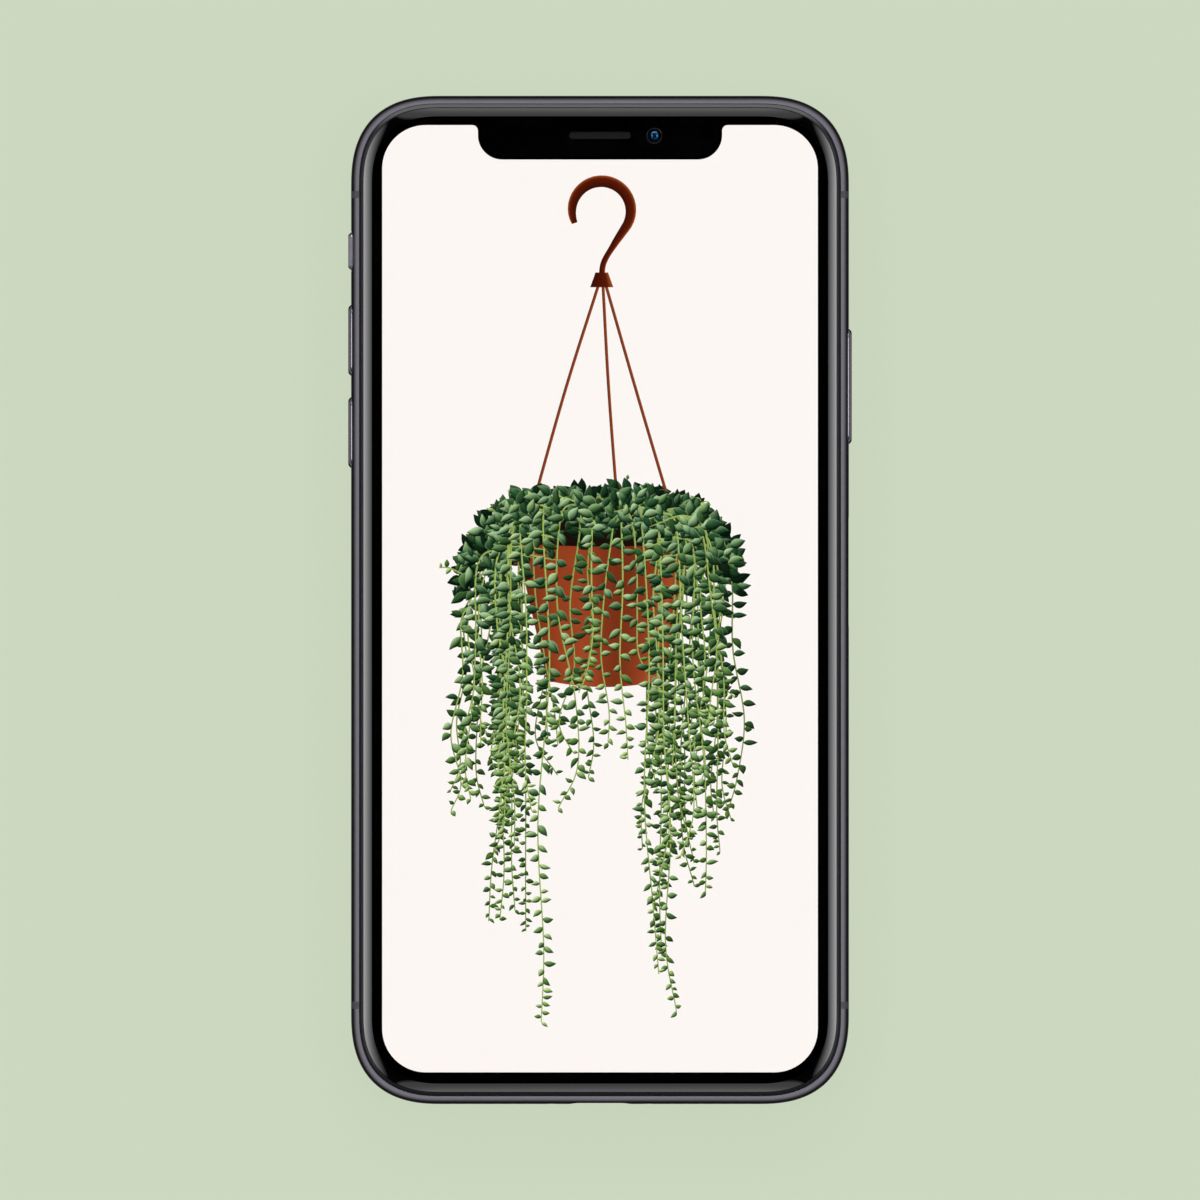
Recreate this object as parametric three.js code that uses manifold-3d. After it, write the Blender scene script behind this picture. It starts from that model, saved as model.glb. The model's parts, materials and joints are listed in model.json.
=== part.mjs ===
// A smartphone of the 5.8-inch class, with a notched screen that runs almost to its edges, lying on its back.
// Millimetres. As the screen is read, +X is to the right and +Y is up, and +Z points out of the screen.
// The origin is under the middle of the phone, on the surface that it lies on.

import * as THREE from "three";
import { mergeVertices } from "three/addons/utils/BufferGeometryUtils.js";
import Module from "manifold-3d";

// The body
const LENGTH = 143.6;
const WIDTH = 70.9;
const BODY_THICK = 7.7;
const BUMP = 1.0; // how far the camera rings stand out of the back
const CORNER = 12.9; // the reach of each corner's curve, a superellipse
const CORNER_POWER = 2.5;
const CORNER_STEPS = 8;
const EDGE_RUN = 2.95; // how far in from the silhouette the side's curve ends and the flat face begins
const EDGE_POWER = 2.3;
const EDGE_STEPS = 8;
const RIM_STEPS = 3;
const WALL = 2.3; // the band's thickness at its middle
const FIT = 0.05; // the gap between pieces that are glued or pressed together

// Heights
const BACK_Z = BUMP;
const FRONT_Z = BACK_Z + BODY_THICK;
const MID_Z = (BACK_Z + FRONT_Z) / 2;
const BACK_GLASS_THICK = 0.8;
const FRONT_GLASS_THICK = 0.75;
const BACK_LEDGE_Z = BACK_Z + BACK_GLASS_THICK + FIT;
const FRONT_LEDGE_Z = 7.0;
const BACK_PLATE_THICK = 0.34;
const FLOOR_Z = BACK_LEDGE_Z + BACK_PLATE_THICK + FIT; // the top of the back plate
const GLASS_UNDER_Z = FRONT_Z - FRONT_GLASS_THICK;
const CEILING_Z = 6.7; // the parts inside end here

// Where the band ends and the glass begins, measured in from the silhouette
const BAND_FRONT_EDGE = 1.15;
const BEZEL_EDGE = 1.7;
const BACK_GLASS_EDGE = 1.3;

// The screen
const SCREEN_SIDE = 4.38; // its edge, in from the silhouette
const SCREEN_TOP = 4.13;
const SCREEN_BOTTOM = 4.47;
const SCREEN_CORNER = 6.2;
const NOTCH = { width: 34.75, depth: 5.0, radius: 3.46, fillet: 0.8 };
const EARPIECE = { x: 0, y: 66.1, length: 9.0, height: 1.17 };
const FRONT_CAMERA = { x: 7.76, y: 66.06, radius: 1.15 };

// The breaks in the band, filled with plastic
const BREAK_Y = 57.7;
const BREAK_WIDTH = 1.04;
const BREAK_GAP = 0.02;

// Keys on the sides. Each stands out of the band, passes through a slot and ends in a flange inside the wall.
const KEY_OUT = 0.4;
const KEY_HEIGHT = 2.9;
const KEY_PLAY = 0.08;
const VOLUME_UP = { side: -1, y: 36.97, length: 10.2 };
const VOLUME_DOWN = { side: -1, y: 23.84, length: 10.2 };
const SIDE_KEY = { side: 1, y: 30.4, length: 16.5 };
const MUTE = { y: 49.65, length: 5.4, height: 1.9, windowHeight: 3.4, windowDepth: 0.9, travel: 1.3 };
const FLANGE = { thick: 0.5, rim: 0.35, gap: 0.2 };
const SWITCH_REACH = 1.15; // from the wall to the face of the switches behind the keys

// The card tray, in the right side
const TRAY = { y: 4, length: 15.9, height: 1.7, frame: 1.0, reach: 13.9, cover: 1.1 };
const CARD = { length: 12.4, width: 8.9, depth: 0.7 };

// The lower end
const PORT = { width: 8.9, height: 3.1, depth: 6.9, shell: 0.4 };
const TONGUE = { width: 6.7, height: 0.7, reach: 5.6 };
const SOUND_HOLES = { first: 10.2, step: 2.15, count: 6, radius: 0.62 };
const SCREW = { x: 6.95, radius: 0.8 };

const MESH = { x: [9.2, 22.2], thick: 0.18, height: 1.9 };
const LOUDSPEAKER = { x: [9, 27.5], y: [-69.1, -49.5], top: 6.2 };
const MICROPHONE = { x: [-23.5, -9], y: [-69.1, -66.6], bottom: 3.4, top: 6.2 };
const HAPTIC_MOTOR = { x: [-29.5, -8], y: [-66, -52.5], top: 6.0 };

// The middle
const INNER_GAP = 0.4; // between the back plate and the parts above it, where the coil and a flat cable run
const BATTERY = { x: -12.1, y: -3, width: 37.2, length: 94, top: 6.45 };
const BOARD = { x: [7.6, 30.7], y: [-21, 38], thick: 0.7 };
const LOWER_SHIELD = { x: [8.4, 29.9], y: [-20.2, -6.5], height: 1.7 };
const UPPER_SHIELD = { x: [8.4, 29.9], y: [14.5, 37.2], height: 1.9 };
const COIL = { y: -4, inner: 13, outer: 23.5, thick: 0.3 };
const INNER_Z = FLOOR_Z + INNER_GAP;
const CHIP_Z = INNER_Z + BOARD.thick + FIT;
const CABLE_THICK = 0.25;
const PORT_CABLE = { start: [-3, -61.9], end: [29.5, -19], width: 3.6 };
const DISPLAY_CABLE = { x: [18, 29], y: [37.5, 38.6] };
const BATTERY_CABLE = { x: [6.6, 13], y: [2, 8] };

// What looks out above the screen, and the bracket that carries it
const SENSOR_TOP = 7.72;
const SENSOR_SEAT = 4.4;
const EARPIECE_SPEAKER = { x: [-5.4, 4.9], y: [62.9, 68.9] };
const INFRARED_CAMERA = { x: [-10.6, -6.4], y: [63.9, 67.9] };
const DOT_PROJECTOR = { x: [11.2, 15.4], y: [63.9, 67.9] };
const BRACKET = { halfWidth: 16.9, y: [62.5, 69.2], thick: 0.4 };

// The rear cameras
const ISLAND = { x: 24.4, y: 53.2, width: 13.0, height: 27.5, face: 0.45 };
const LENS_Y = [60.6, 45.8];
const LENS = { ring: 5.0, bore: 3.75, ledge: 3.2, glass: 3.65 };
const FLASH_RADIUS = 1.9;
const CAMERA_BODY = { half: 5.2, top: 6.3 };

// Finishes
const finish = (color, roughness, metalness, opacity = 1) =>
  new THREE.MeshStandardMaterial({ color, roughness, metalness, opacity, transparent: opacity < 1 });
const FINISHES = {
  band: finish("#3c3b41", 0.22, 1),
  inlay: finish("#2b2a2f", 0.45, 0),
  key: finish("#57565d", 0.25, 1),
  bezel: finish("#1c1c1e", 0.4, 0),
  frontGlass: finish("#0c0c0d", 0.05, 0, 0.35),
  mask: finish("#050505", 0.4, 0),
  panel: finish("#fcf7f3", 0.3, 0),
  backGlass: finish("#141416", 0.08, 0),
  lensRing: finish("#26262a", 0.2, 1),
  lensGlass: finish("#0a0f1c", 0.03, 0, 0.5),
  lens: finish("#10245a", 0.05, 0),
  flash: finish("#e8dfb8", 0.2, 0),
  mesh: finish("#1a1a1a", 0.6, 1),
  steel: finish("#9a9a9c", 0.35, 1),
  board: finish("#1d3b2a", 0.6, 0),
  shield: finish("#b4b4b6", 0.3, 1),
  battery: finish("#202124", 0.55, 0),
  copper: finish("#b5673c", 0.35, 1),
  module: finish("#1f1f22", 0.5, 0),
  contact: finish("#111113", 0.5, 0),
};

const wasm = await Module();
wasm.setup();

// A closed geometry as a solid that can be joined and cut.
function solidOf(geometry) {
  const bare = new THREE.BufferGeometry();
  const plain = geometry.index ? geometry.toNonIndexed() : geometry;
  bare.setAttribute("position", plain.getAttribute("position"));
  const merged = mergeVertices(bare, 1e-4);
  const corners = merged.index.array;
  const faces = [];
  for (let i = 0; i < corners.length; i += 3) {
    const [a, b, c] = corners.subarray(i, i + 3);
    if (a !== b && b !== c && c !== a) faces.push(a, b, c);
  }
  return new wasm.Manifold(
    new wasm.Mesh({
      numProp: 3,
      vertProperties: merged.attributes.position.array,
      triVerts: new Uint32Array(faces),
    }),
  );
}

function geometryOf(solid) {
  const { vertProperties, triVerts, numProp, numVert } = solid.getMesh();
  const positions = new Float32Array(numVert * 3);
  for (let i = 0; i < numVert; i++) {
    positions.set(vertProperties.subarray(i * numProp, i * numProp + 3), i * 3);
  }
  return new THREE.BufferGeometry()
    .setAttribute("position", new THREE.BufferAttribute(positions, 3))
    .setIndex(new THREE.BufferAttribute(triVerts, 1));
}

const cut = (geometry, ...cutters) =>
  geometryOf(cutters.reduce((solid, cutter) => solid.subtract(solidOf(cutter)), solidOf(geometry)));
const join = (...geometries) =>
  geometryOf(geometries.map(solidOf).reduce((whole, solid) => whole.add(solid)));

// Six times the volume inside a skin of faces, negative where they face inwards.
function sixVolumes(points, faces) {
  let total = 0;
  for (let i = 0; i < faces.length; i += 3) {
    const [a, b, c] = faces.slice(i, i + 3).map((n) => points[n]);
    total += a.dot(new THREE.Vector3().crossVectors(b, c));
  }
  return total;
}

// Joins matching loops of points into one closed skin, with flat caps over the first loop and the last.
// flat gives the two coordinates in which a cap is a plain outline.
function loft(loops, flat) {
  const count = loops[0].length;
  const points = loops.flat();
  const faces = [];
  for (let i = 0; i + 1 < loops.length; i++) {
    for (let j = 0; j < count; j++) {
      const a = i * count + j;
      const b = i * count + ((j + 1) % count);
      faces.push(a, b, b + count, a, b + count, a + count);
    }
  }
  const cap = (first, alongLoop) => {
    const contour = points.slice(first, first + count).map(flat);
    const forward = THREE.ShapeUtils.isClockWise(contour) !== alongLoop;
    for (const [p, q, r] of THREE.ShapeUtils.triangulateShape(contour, [])) {
      faces.push(...(forward ? [p, q, r] : [p, r, q]).map((n) => n + first));
    }
  };
  cap(0, false);
  cap(points.length - count, true);
  if (sixVolumes(points, faces) < 0) faces.reverse();
  return new THREE.BufferGeometry()
    .setAttribute("position", new THREE.Float32BufferAttribute(points.flatMap((p) => [p.x, p.y, p.z]), 3))
    .setIndex(faces);
}

// The body's side in section: how far in the surface lies at a height, and how high it lies at a distance in.
const heightAt = (inset) =>
  (BODY_THICK / 2) * Math.pow(1 - Math.pow(1 - inset / EDGE_RUN, EDGE_POWER), 1 / EDGE_POWER);
const insetAt = (z) =>
  EDGE_RUN * (1 - Math.pow(1 - Math.pow(Math.abs(z - MID_Z) / (BODY_THICK / 2), EDGE_POWER), 1 / EDGE_POWER));

// One corner of the outline at a distance in from the silhouette, anticlockwise. Quarter 0 is the upper right.
function cornerCurve(inset, quarter) {
  const reach = CORNER - inset;
  const x = WIDTH / 2 - CORNER;
  const y = LENGTH / 2 - CORNER;
  const points = [];
  for (let i = 0; i <= CORNER_STEPS; i++) {
    const angle = ((i / CORNER_STEPS) * Math.PI) / 2;
    const a = reach * Math.pow(Math.max(0, Math.cos(angle)), 2 / CORNER_POWER);
    const b = reach * Math.pow(Math.max(0, Math.sin(angle)), 2 / CORNER_POWER);
    points.push(
      [
        new THREE.Vector2(x + a, y + b),
        new THREE.Vector2(-x - b, y + a),
        new THREE.Vector2(-x - a, -y - b),
        new THREE.Vector2(x + b, -y - a),
      ][quarter],
    );
  }
  return points;
}

const outline = (inset) => [0, 1, 2, 3].flatMap((quarter) => cornerCurve(inset, quarter));

// A plate with the body's outline. levels are [distance in, height] pairs from its lowest loop to its highest.
const plate = (levels) =>
  loft(
    levels.map(([inset, z]) => outline(inset).map((p) => new THREE.Vector3(p.x, p.y, z))),
    (p) => new THREE.Vector2(p.x, p.y),
  );

// A stretch of ring with a section of [distance in, height] pairs, through the given corners, between two straight ends.
function ringStretch(section, quarters, startY, endY) {
  const along = section.map(([inset, z]) => {
    const side = (sign, y) => new THREE.Vector2(sign * (WIDTH / 2 - inset), y);
    const [first, final] = quarters.ends;
    const curve = quarters.corners.flatMap((quarter) => cornerCurve(inset, quarter));
    return [side(first, startY), ...curve, side(final, endY)].map((p) => new THREE.Vector3(p.x, p.y, z));
  });
  const stations = along[0].map((_, i) => along.map((line) => line[i]));
  const across = quarters.ends[0];
  return loft(stations, (p) => new THREE.Vector2(across * p.x, p.z));
}

const UPPER = { corners: [0, 1], ends: [1, -1] };
const LOWER = { corners: [2, 3], ends: [-1, 1] };
const RIGHT = { corners: [], ends: [1, 1] };
const LEFT = { corners: [], ends: [-1, -1] };

// A whole ring, as the two halves of its section's path joined on the middle of the sides.
function ring(section) {
  return join(ringStretch(section, UPPER, 0, 0), ringStretch(section, LOWER, 0, 0));
}

function roundedRectangle(width, height, radius, x = 0, y = 0) {
  const shape = new THREE.Shape();
  const right = x + width / 2 - radius;
  const left = x - width / 2 + radius;
  const top = y + height / 2 - radius;
  const bottom = y - height / 2 + radius;
  shape.absarc(right, bottom, radius, -Math.PI / 2, 0);
  shape.absarc(right, top, radius, 0, Math.PI / 2);
  shape.absarc(left, top, radius, Math.PI / 2, Math.PI);
  shape.absarc(left, bottom, radius, Math.PI, 1.5 * Math.PI);
  shape.closePath();
  return shape;
}

function circle(radius, x = 0, y = 0) {
  const shape = new THREE.Shape();
  shape.absarc(x, y, radius, 0, 2 * Math.PI);
  return shape;
}

// Each arc of a shape is split into twice as many pieces as curveSegments.
const extrude = (shape, from, to, curveSegments = 2) =>
  new THREE.ExtrudeGeometry(shape, { depth: to - from, bevelEnabled: false, curveSegments }).translate(0, 0, from);

// A prism with softened ends: its shape is full size between them.
function softPrism(shape, from, to, bevel, curveSegments = 2) {
  return new THREE.ExtrudeGeometry(shape, {
    depth: to - from - 2 * bevel,
    bevelEnabled: true,
    bevelThickness: bevel,
    bevelSize: bevel,
    bevelOffset: -bevel,
    bevelSegments: 2,
    curveSegments,
  }).translate(0, 0, from + bevel);
}

// Turn a prism along Z so that it runs along X, with its shape's axes on Y and Z, or along Y, with them on X and Z.
const ALONG_X = new THREE.Matrix4().makeBasis(
  new THREE.Vector3(0, 1, 0),
  new THREE.Vector3(0, 0, 1),
  new THREE.Vector3(1, 0, 0),
);
const ALONG_Y = new THREE.Matrix4().makeBasis(
  new THREE.Vector3(-1, 0, 0),
  new THREE.Vector3(0, 0, 1),
  new THREE.Vector3(0, 1, 0),
);

// The section of a sheet folded into a channel with its legs down.
const channel = (half, foot, top, thick) =>
  new THREE.Shape(
    [
      [-half, foot], [thick - half, foot], [thick - half, top - thick], [half - thick, top - thick],
      [half - thick, foot], [half, foot], [half, top], [-half, top],
    ].map(([across, up]) => new THREE.Vector2(across, up)),
  );

const box = (x0, x1, y0, y1, z0, z1) =>
  new THREE.BoxGeometry(x1 - x0, y1 - y0, z1 - z0).translate((x0 + x1) / 2, (y0 + y1) / 2, (z0 + z1) / 2);
// A block with rounded upright edges. Its place is { x: [low, high], y: [low, high] }.
const block = ({ x, y }, z0, z1, radius = 1) =>
  extrude(roundedRectangle(x[1] - x[0], y[1] - y[0], radius, (x[0] + x[1]) / 2, (y[0] + y[1]) / 2), z0, z1, 1);
const cylinder = (x, y, radius, z0, z1, sides = 20) =>
  extrude(circle(radius, x, y), z0, z1, sides / 2);

// A prism run along X into one side of the phone. outer and inner are measured in from the silhouette.
function sidePrism(side, y, z, length, height, outer, inner, { bevel = 0, radius = height / 2 } = {}) {
  const shape = roundedRectangle(length, height, radius);
  const far = WIDTH / 2 - outer;
  const near = WIDTH / 2 - inner;
  const [from, to] = side > 0 ? [near, far] : [-far, -near];
  const solid = bevel ? softPrism(shape, from, to, bevel) : extrude(shape, from, to);
  return solid.applyMatrix4(ALONG_X).translate(0, y, z);
}

// A prism run along Y into the lower end.
function endPrism(x, z, width, height, radius, outer, inner, curveSegments = 2) {
  const shape = roundedRectangle(width, height, radius);
  return extrude(shape, -LENGTH / 2 + outer, -LENGTH / 2 + inner, curveSegments)
    .applyMatrix4(ALONG_Y)
    .translate(x, 0, z);
}

const phone = new THREE.Group();

function add(name, geometry, material) {
  const mesh = new THREE.Mesh(geometry, material);
  mesh.name = name;
  phone.add(mesh);
}

// The band's section: round outside, with a ledge for each glass and a flat wall inside.
function bandSection() {
  const top = MID_Z + heightAt(BAND_FRONT_EDGE);
  const bottom = MID_Z - heightAt(BACK_GLASS_EDGE - FIT);
  const section = [];
  for (let i = 0; i <= EDGE_STEPS; i++) {
    // Stations crowd towards the two ends, where the surface turns fastest.
    const z = MID_Z + ((top - bottom) / 2) * Math.cos((i / EDGE_STEPS) * Math.PI) + (top + bottom) / 2 - MID_Z;
    section.push([insetAt(z), z]);
  }
  section.push([BACK_GLASS_EDGE, BACK_LEDGE_Z]);
  section.push([WALL, BACK_LEDGE_Z]);
  section.push([WALL, FRONT_LEDGE_Z]);
  section.push([BAND_FRONT_EDGE + FIT, FRONT_LEDGE_Z]);
  section.push([BAND_FRONT_EDGE + FIT, top]);
  return section;
}

function makeBand() {
  const section = bandSection();
  const low = BREAK_Y - BREAK_WIDTH / 2;
  const high = BREAK_Y + BREAK_WIDTH / 2;
  const through = [-1, WALL + 1];

  add("band_top", ringStretch(section, UPPER, high, high), FINISHES.band);

  const keySlot = ({ side, y, length }) =>
    sidePrism(side, y, MID_Z, length + 2 * KEY_PLAY, KEY_HEIGHT + 2 * KEY_PLAY, ...through);
  const muteHole = (length, height, outer, inner, radius) =>
    sidePrism(-1, MUTE.y, MID_Z, length, height, outer, inner, { radius });
  const muteWindow = muteHole(MUTE.length + 0.3, MUTE.windowHeight, -1, MUTE.windowDepth, 1.05);
  const muteSlot = muteHole(3.0, 2.6, ...through, 0.3);
  const left = ringStretch(section, LEFT, low, -low);
  add("band_left", cut(left, keySlot(VOLUME_UP), keySlot(VOLUME_DOWN), muteWindow, muteSlot), FINISHES.band);

  const traySlot = sidePrism(1, TRAY.y, MID_Z, TRAY.length + 0.2, TRAY.height + 0.2, ...through);
  const ejectHole = sidePrism(1, TRAY.y - TRAY.length / 2 - 1.6, MID_Z, 0.9, 0.9, ...through);
  const right = ringStretch(section, RIGHT, -low, low);
  add("band_right", cut(right, keySlot(SIDE_KEY), traySlot, ejectHole), FINISHES.band);

  const holes = [];
  for (let i = 0; i < SOUND_HOLES.count; i++) {
    const x = SOUND_HOLES.first + i * SOUND_HOLES.step;
    const size = 2 * SOUND_HOLES.radius;
    for (const sign of [-1, 1]) {
      holes.push(endPrism(sign * x, MID_Z, size, size, SOUND_HOLES.radius, ...through, 1));
    }
  }
  for (const sign of [-1, 1]) {
    const size = 2 * (SCREW.radius + FIT);
    holes.push(endPrism(sign * SCREW.x, MID_Z, size, size, SCREW.radius, ...through));
  }
  const portHole = endPrism(0, MID_Z, PORT.width, PORT.height, PORT.height / 2, ...through);
  const lower = ringStretch(section, LOWER, -high, -high);
  add("band_bottom", cut(lower, portHole, ...holes), FINISHES.band);

  const inlay = (stretch, y) => {
    const [from, to] = [y - BREAK_WIDTH / 2 + BREAK_GAP, y + BREAK_WIDTH / 2 - BREAK_GAP];
    return stretch === RIGHT ? ringStretch(section, stretch, from, to) : ringStretch(section, stretch, to, from);
  };
  add("antenna_break_upper_right", inlay(RIGHT, BREAK_Y), FINISHES.inlay);
  add("antenna_break_lower_right", inlay(RIGHT, -BREAK_Y), FINISHES.inlay);
  add("antenna_break_upper_left", inlay(LEFT, BREAK_Y), FINISHES.inlay);
  add("antenna_break_lower_left", inlay(LEFT, -BREAK_Y), FINISHES.inlay);
}

// The lit area, with the notch cut into its upper edge. A positive shrink draws it in all round.
function screenShape(shrink) {
  const x = WIDTH / 2 - SCREEN_SIDE - shrink;
  const top = LENGTH / 2 - SCREEN_TOP - shrink;
  const bottom = -LENGTH / 2 + SCREEN_BOTTOM + shrink;
  const r = SCREEN_CORNER - shrink;
  const notch = NOTCH.width / 2 + shrink;
  const notchY = top - NOTCH.depth;
  const notchR = NOTCH.radius + shrink;
  const fillet = NOTCH.fillet - shrink;
  const quarter = Math.PI / 2;
  const shape = new THREE.Shape();
  shape.absarc(x - r, bottom + r, r, -quarter, 0);
  shape.absarc(x - r, top - r, r, 0, quarter);
  shape.absarc(notch + fillet, top - fillet, fillet, quarter, 2 * quarter);
  shape.absarc(notch - notchR, notchY + notchR, notchR, 0, -quarter, true);
  shape.absarc(-notch + notchR, notchY + notchR, notchR, -quarter, -2 * quarter, true);
  shape.absarc(-notch - fillet, top - fillet, fillet, 0, quarter);
  shape.absarc(-x + r, top - r, r, quarter, 2 * quarter);
  shape.absarc(-x + r, bottom + r, r, 2 * quarter, 3 * quarter);
  shape.closePath();
  return shape;
}

function makeFront() {
  // The curved rim of each glass follows the body's side.
  const rim = [];
  for (let i = 0; i <= RIM_STEPS; i++) {
    const inset = BEZEL_EDGE + FIT + ((EDGE_RUN - BEZEL_EDGE - FIT) * i) / RIM_STEPS;
    rim.push([inset, MID_Z + heightAt(inset)]);
  }
  const glass = plate([[BEZEL_EDGE + 2 * FIT, GLASS_UNDER_Z], ...rim]);
  const slot = extrude(
    roundedRectangle(EARPIECE.length, EARPIECE.height, EARPIECE.height / 2, EARPIECE.x, EARPIECE.y),
    GLASS_UNDER_Z - 1,
    FRONT_Z + 1,
  );
  add("front_glass", cut(glass, slot), FINISHES.frontGlass);

  // The bezel stands around the glass and carries it on an inner ledge.
  const bezelOuter = BAND_FRONT_EDGE + 2 * FIT;
  const bezelInner = 2.6;
  const bezelFloor = FRONT_LEDGE_Z + FIT;
  const seat = GLASS_UNDER_Z - FIT;
  const bezel = [
    [bezelInner, bezelFloor],
    [bezelInner, seat],
    [BEZEL_EDGE, seat],
    [BEZEL_EDGE, MID_Z + heightAt(BEZEL_EDGE)],
    [(BEZEL_EDGE + bezelOuter) / 2, MID_Z + heightAt((BEZEL_EDGE + bezelOuter) / 2)],
    [bezelOuter, MID_Z + heightAt(bezelOuter)],
    [bezelOuter, bezelFloor],
  ];
  add("display_bezel", ring(bezel), FINISHES.bezel);

  // The black mask behind the glass leaves the lit area, the camera and the earpiece open.
  const maskTop = GLASS_UNDER_Z - 0.03;
  const maskInset = bezelInner + FIT;
  const mask = new THREE.Shape(outline(maskInset));
  mask.holes.push(
    screenShape(0),
    circle(FRONT_CAMERA.radius + FIT, FRONT_CAMERA.x, FRONT_CAMERA.y),
    roundedRectangle(EARPIECE.length, EARPIECE.height, EARPIECE.height / 2, EARPIECE.x, EARPIECE.y),
  );
  add("display_mask", extrude(mask, maskTop - 0.12, maskTop, 3), FINISHES.mask);
  add("display_panel", extrude(screenShape(FIT), maskTop - 0.72, maskTop, 3), FINISHES.panel);

  const carrierPlace = {
    x: [3.2 - WIDTH / 2, WIDTH / 2 - 3.2],
    y: [3.8 - LENGTH / 2, 60],
  };
  const carrier = block(carrierPlace, CEILING_Z + FIT, maskTop - 0.72 - FIT, 6);
  add("display_carrier", carrier, FINISHES.steel);

  const meshTop = FRONT_Z - 0.28;
  const mesh = roundedRectangle(EARPIECE.length - 0.08, EARPIECE.height - 0.08, 0.52, EARPIECE.x, EARPIECE.y);
  add("earpiece_mesh", extrude(mesh, maskTop - 0.1, meshTop), FINISHES.mesh);
}

function makeSensors() {
  const { x, y, radius } = FRONT_CAMERA;
  const bottom = SENSOR_SEAT + FIT;
  add("front_camera", cylinder(x, y, 1.9, bottom, SENSOR_TOP, 16), FINISHES.module);
  const dome = new THREE.LatheGeometry(
    [[0, 0], [1, 0], [1, 0.06], [0.75, 0.12], [0.4, 0.155], [0, 0.17]].map(
      ([out, up]) => new THREE.Vector2(out * radius, up),
    ),
    16,
  );
  add("front_camera_lens", dome.rotateX(Math.PI / 2).translate(x, y, SENSOR_TOP + 0.03), FINISHES.lens);
  add("earpiece_speaker", block(EARPIECE_SPEAKER, bottom, SENSOR_TOP, 0.8), FINISHES.module);
  add("infrared_camera", block(INFRARED_CAMERA, bottom, SENSOR_TOP, 0.6), FINISHES.module);
  add("dot_projector", block(DOT_PROJECTOR, bottom, SENSOR_TOP, 0.6), FINISHES.module);

  // A folded bracket carries them all over the back plate.
  const bracket = channel(BRACKET.halfWidth, FLOOR_Z, SENSOR_SEAT, BRACKET.thick);
  add("sensor_bracket", extrude(bracket, ...BRACKET.y).applyMatrix4(ALONG_Y), FINISHES.steel);
}

function makeBack() {
  // The glass is a plate with a curved rim, and the camera island comes through it.
  const rim = [];
  for (let i = 0; i <= RIM_STEPS; i++) {
    const inset = EDGE_RUN - ((EDGE_RUN - BACK_GLASS_EDGE) * i) / RIM_STEPS;
    rim.push([inset, MID_Z - heightAt(inset)]);
  }
  const glass = plate([...rim, [BACK_GLASS_EDGE + FIT, BACK_Z + BACK_GLASS_THICK]]);
  const pill = (grow) =>
    roundedRectangle(
      ISLAND.width + 2 * grow,
      ISLAND.height + 2 * grow,
      ISLAND.width / 2 + grow,
      ISLAND.x,
      ISLAND.y,
    );
  add("back_glass", cut(glass, extrude(pill(FIT), BACK_Z - 1, BACK_Z + 2, 4)), FINISHES.backGlass);

  const plateLow = BACK_LEDGE_Z;
  const camerasHole = extrude(pill(-0.4), plateLow - 1, plateLow + 1, 4);
  const backPlate = plate([[WALL + FIT, plateLow], [WALL + FIT, plateLow + BACK_PLATE_THICK]]);
  add("back_plate", cut(backPlate, camerasHole), FINISHES.steel);

  // Each lens ring sits in a step of the island and holds its cover glass on a ledge.
  const islandTop = plateLow - FIT;
  const ringTop = 1.15;
  const step = (y) => cylinder(ISLAND.x, y, LENS.ring + FIT, -1, ringTop + FIT, 28);
  const bore = (y) => cylinder(ISLAND.x, y, LENS.bore, -1, islandTop + 1, 28);
  const flashHole = cylinder(ISLAND.x, ISLAND.y, FLASH_RADIUS + FIT, -1, islandTop + 1, 16);
  const microphone = cylinder(ISLAND.x + 3.6, ISLAND.y, 0.4, -1, islandTop + 1, 8);
  const island = softPrism(pill(0), ISLAND.face, islandTop, 0.25, 4);
  add(
    "camera_island",
    cut(island, ...LENS_Y.map(step), ...LENS_Y.map(bore), flashHole, microphone),
    FINISHES.backGlass,
  );

  const turned = (profile, y, steps = 28) =>
    new THREE.LatheGeometry(profile.map(([r, z]) => new THREE.Vector2(r, z)), steps)
      .rotateX(Math.PI / 2)
      .translate(ISLAND.x, y, 0);
  const ringProfile = [
    [LENS.bore, 0.12], [LENS.bore + 0.12, 0], [LENS.ring - 0.2, 0], [LENS.ring, 0.2], [LENS.ring, ringTop],
    [LENS.ledge, ringTop], [LENS.ledge, 0.85], [LENS.bore, 0.85], [LENS.bore, 0.12],
  ];
  ["wide", "tele"].forEach((kind, i) => {
    const y = LENS_Y[i];
    add(`${kind}_lens_ring`, turned(ringProfile, y), FINISHES.lensRing);
    add(`${kind}_lens_glass`, cylinder(ISLAND.x, y, LENS.glass, 0.27, 0.8, 28), FINISHES.lensGlass);
    const { half, top } = CAMERA_BODY;
    const body = { x: [ISLAND.x - half, ISLAND.x + half], y: [y - half, y + half] };
    const barrel = cylinder(ISLAND.x, y, LENS.ledge - 0.1, 0.95, FLOOR_Z + 0.5, 16);
    const module = join(barrel, block(body, FLOOR_Z + 0.1, top, 0.8));
    add(`${kind}_camera`, module, FINISHES.module);
  });
  add("flash_window", cylinder(ISLAND.x, ISLAND.y, FLASH_RADIUS, ISLAND.face + 0.05, 1.2, 16), FINISHES.flash);
  add("flash_lamp", cylinder(ISLAND.x, ISLAND.y, 1.7, 1.25, 3.0), FINISHES.module);
}

// A key is a softened bar that passes through the band, with a flange that keeps it in.
function keyGeometry({ side, y, length }) {
  const flangeOuter = WALL + FLANGE.gap;
  const flangeInner = flangeOuter + FLANGE.thick;
  const bar = sidePrism(side, y, MID_Z, length, KEY_HEIGHT, -KEY_OUT, flangeInner - 0.1, { bevel: 0.28 });
  const grow = 2 * FLANGE.rim;
  const flange = sidePrism(side, y, MID_Z, length + grow, KEY_HEIGHT + grow, flangeOuter, flangeInner);
  return join(bar, flange);
}

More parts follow.
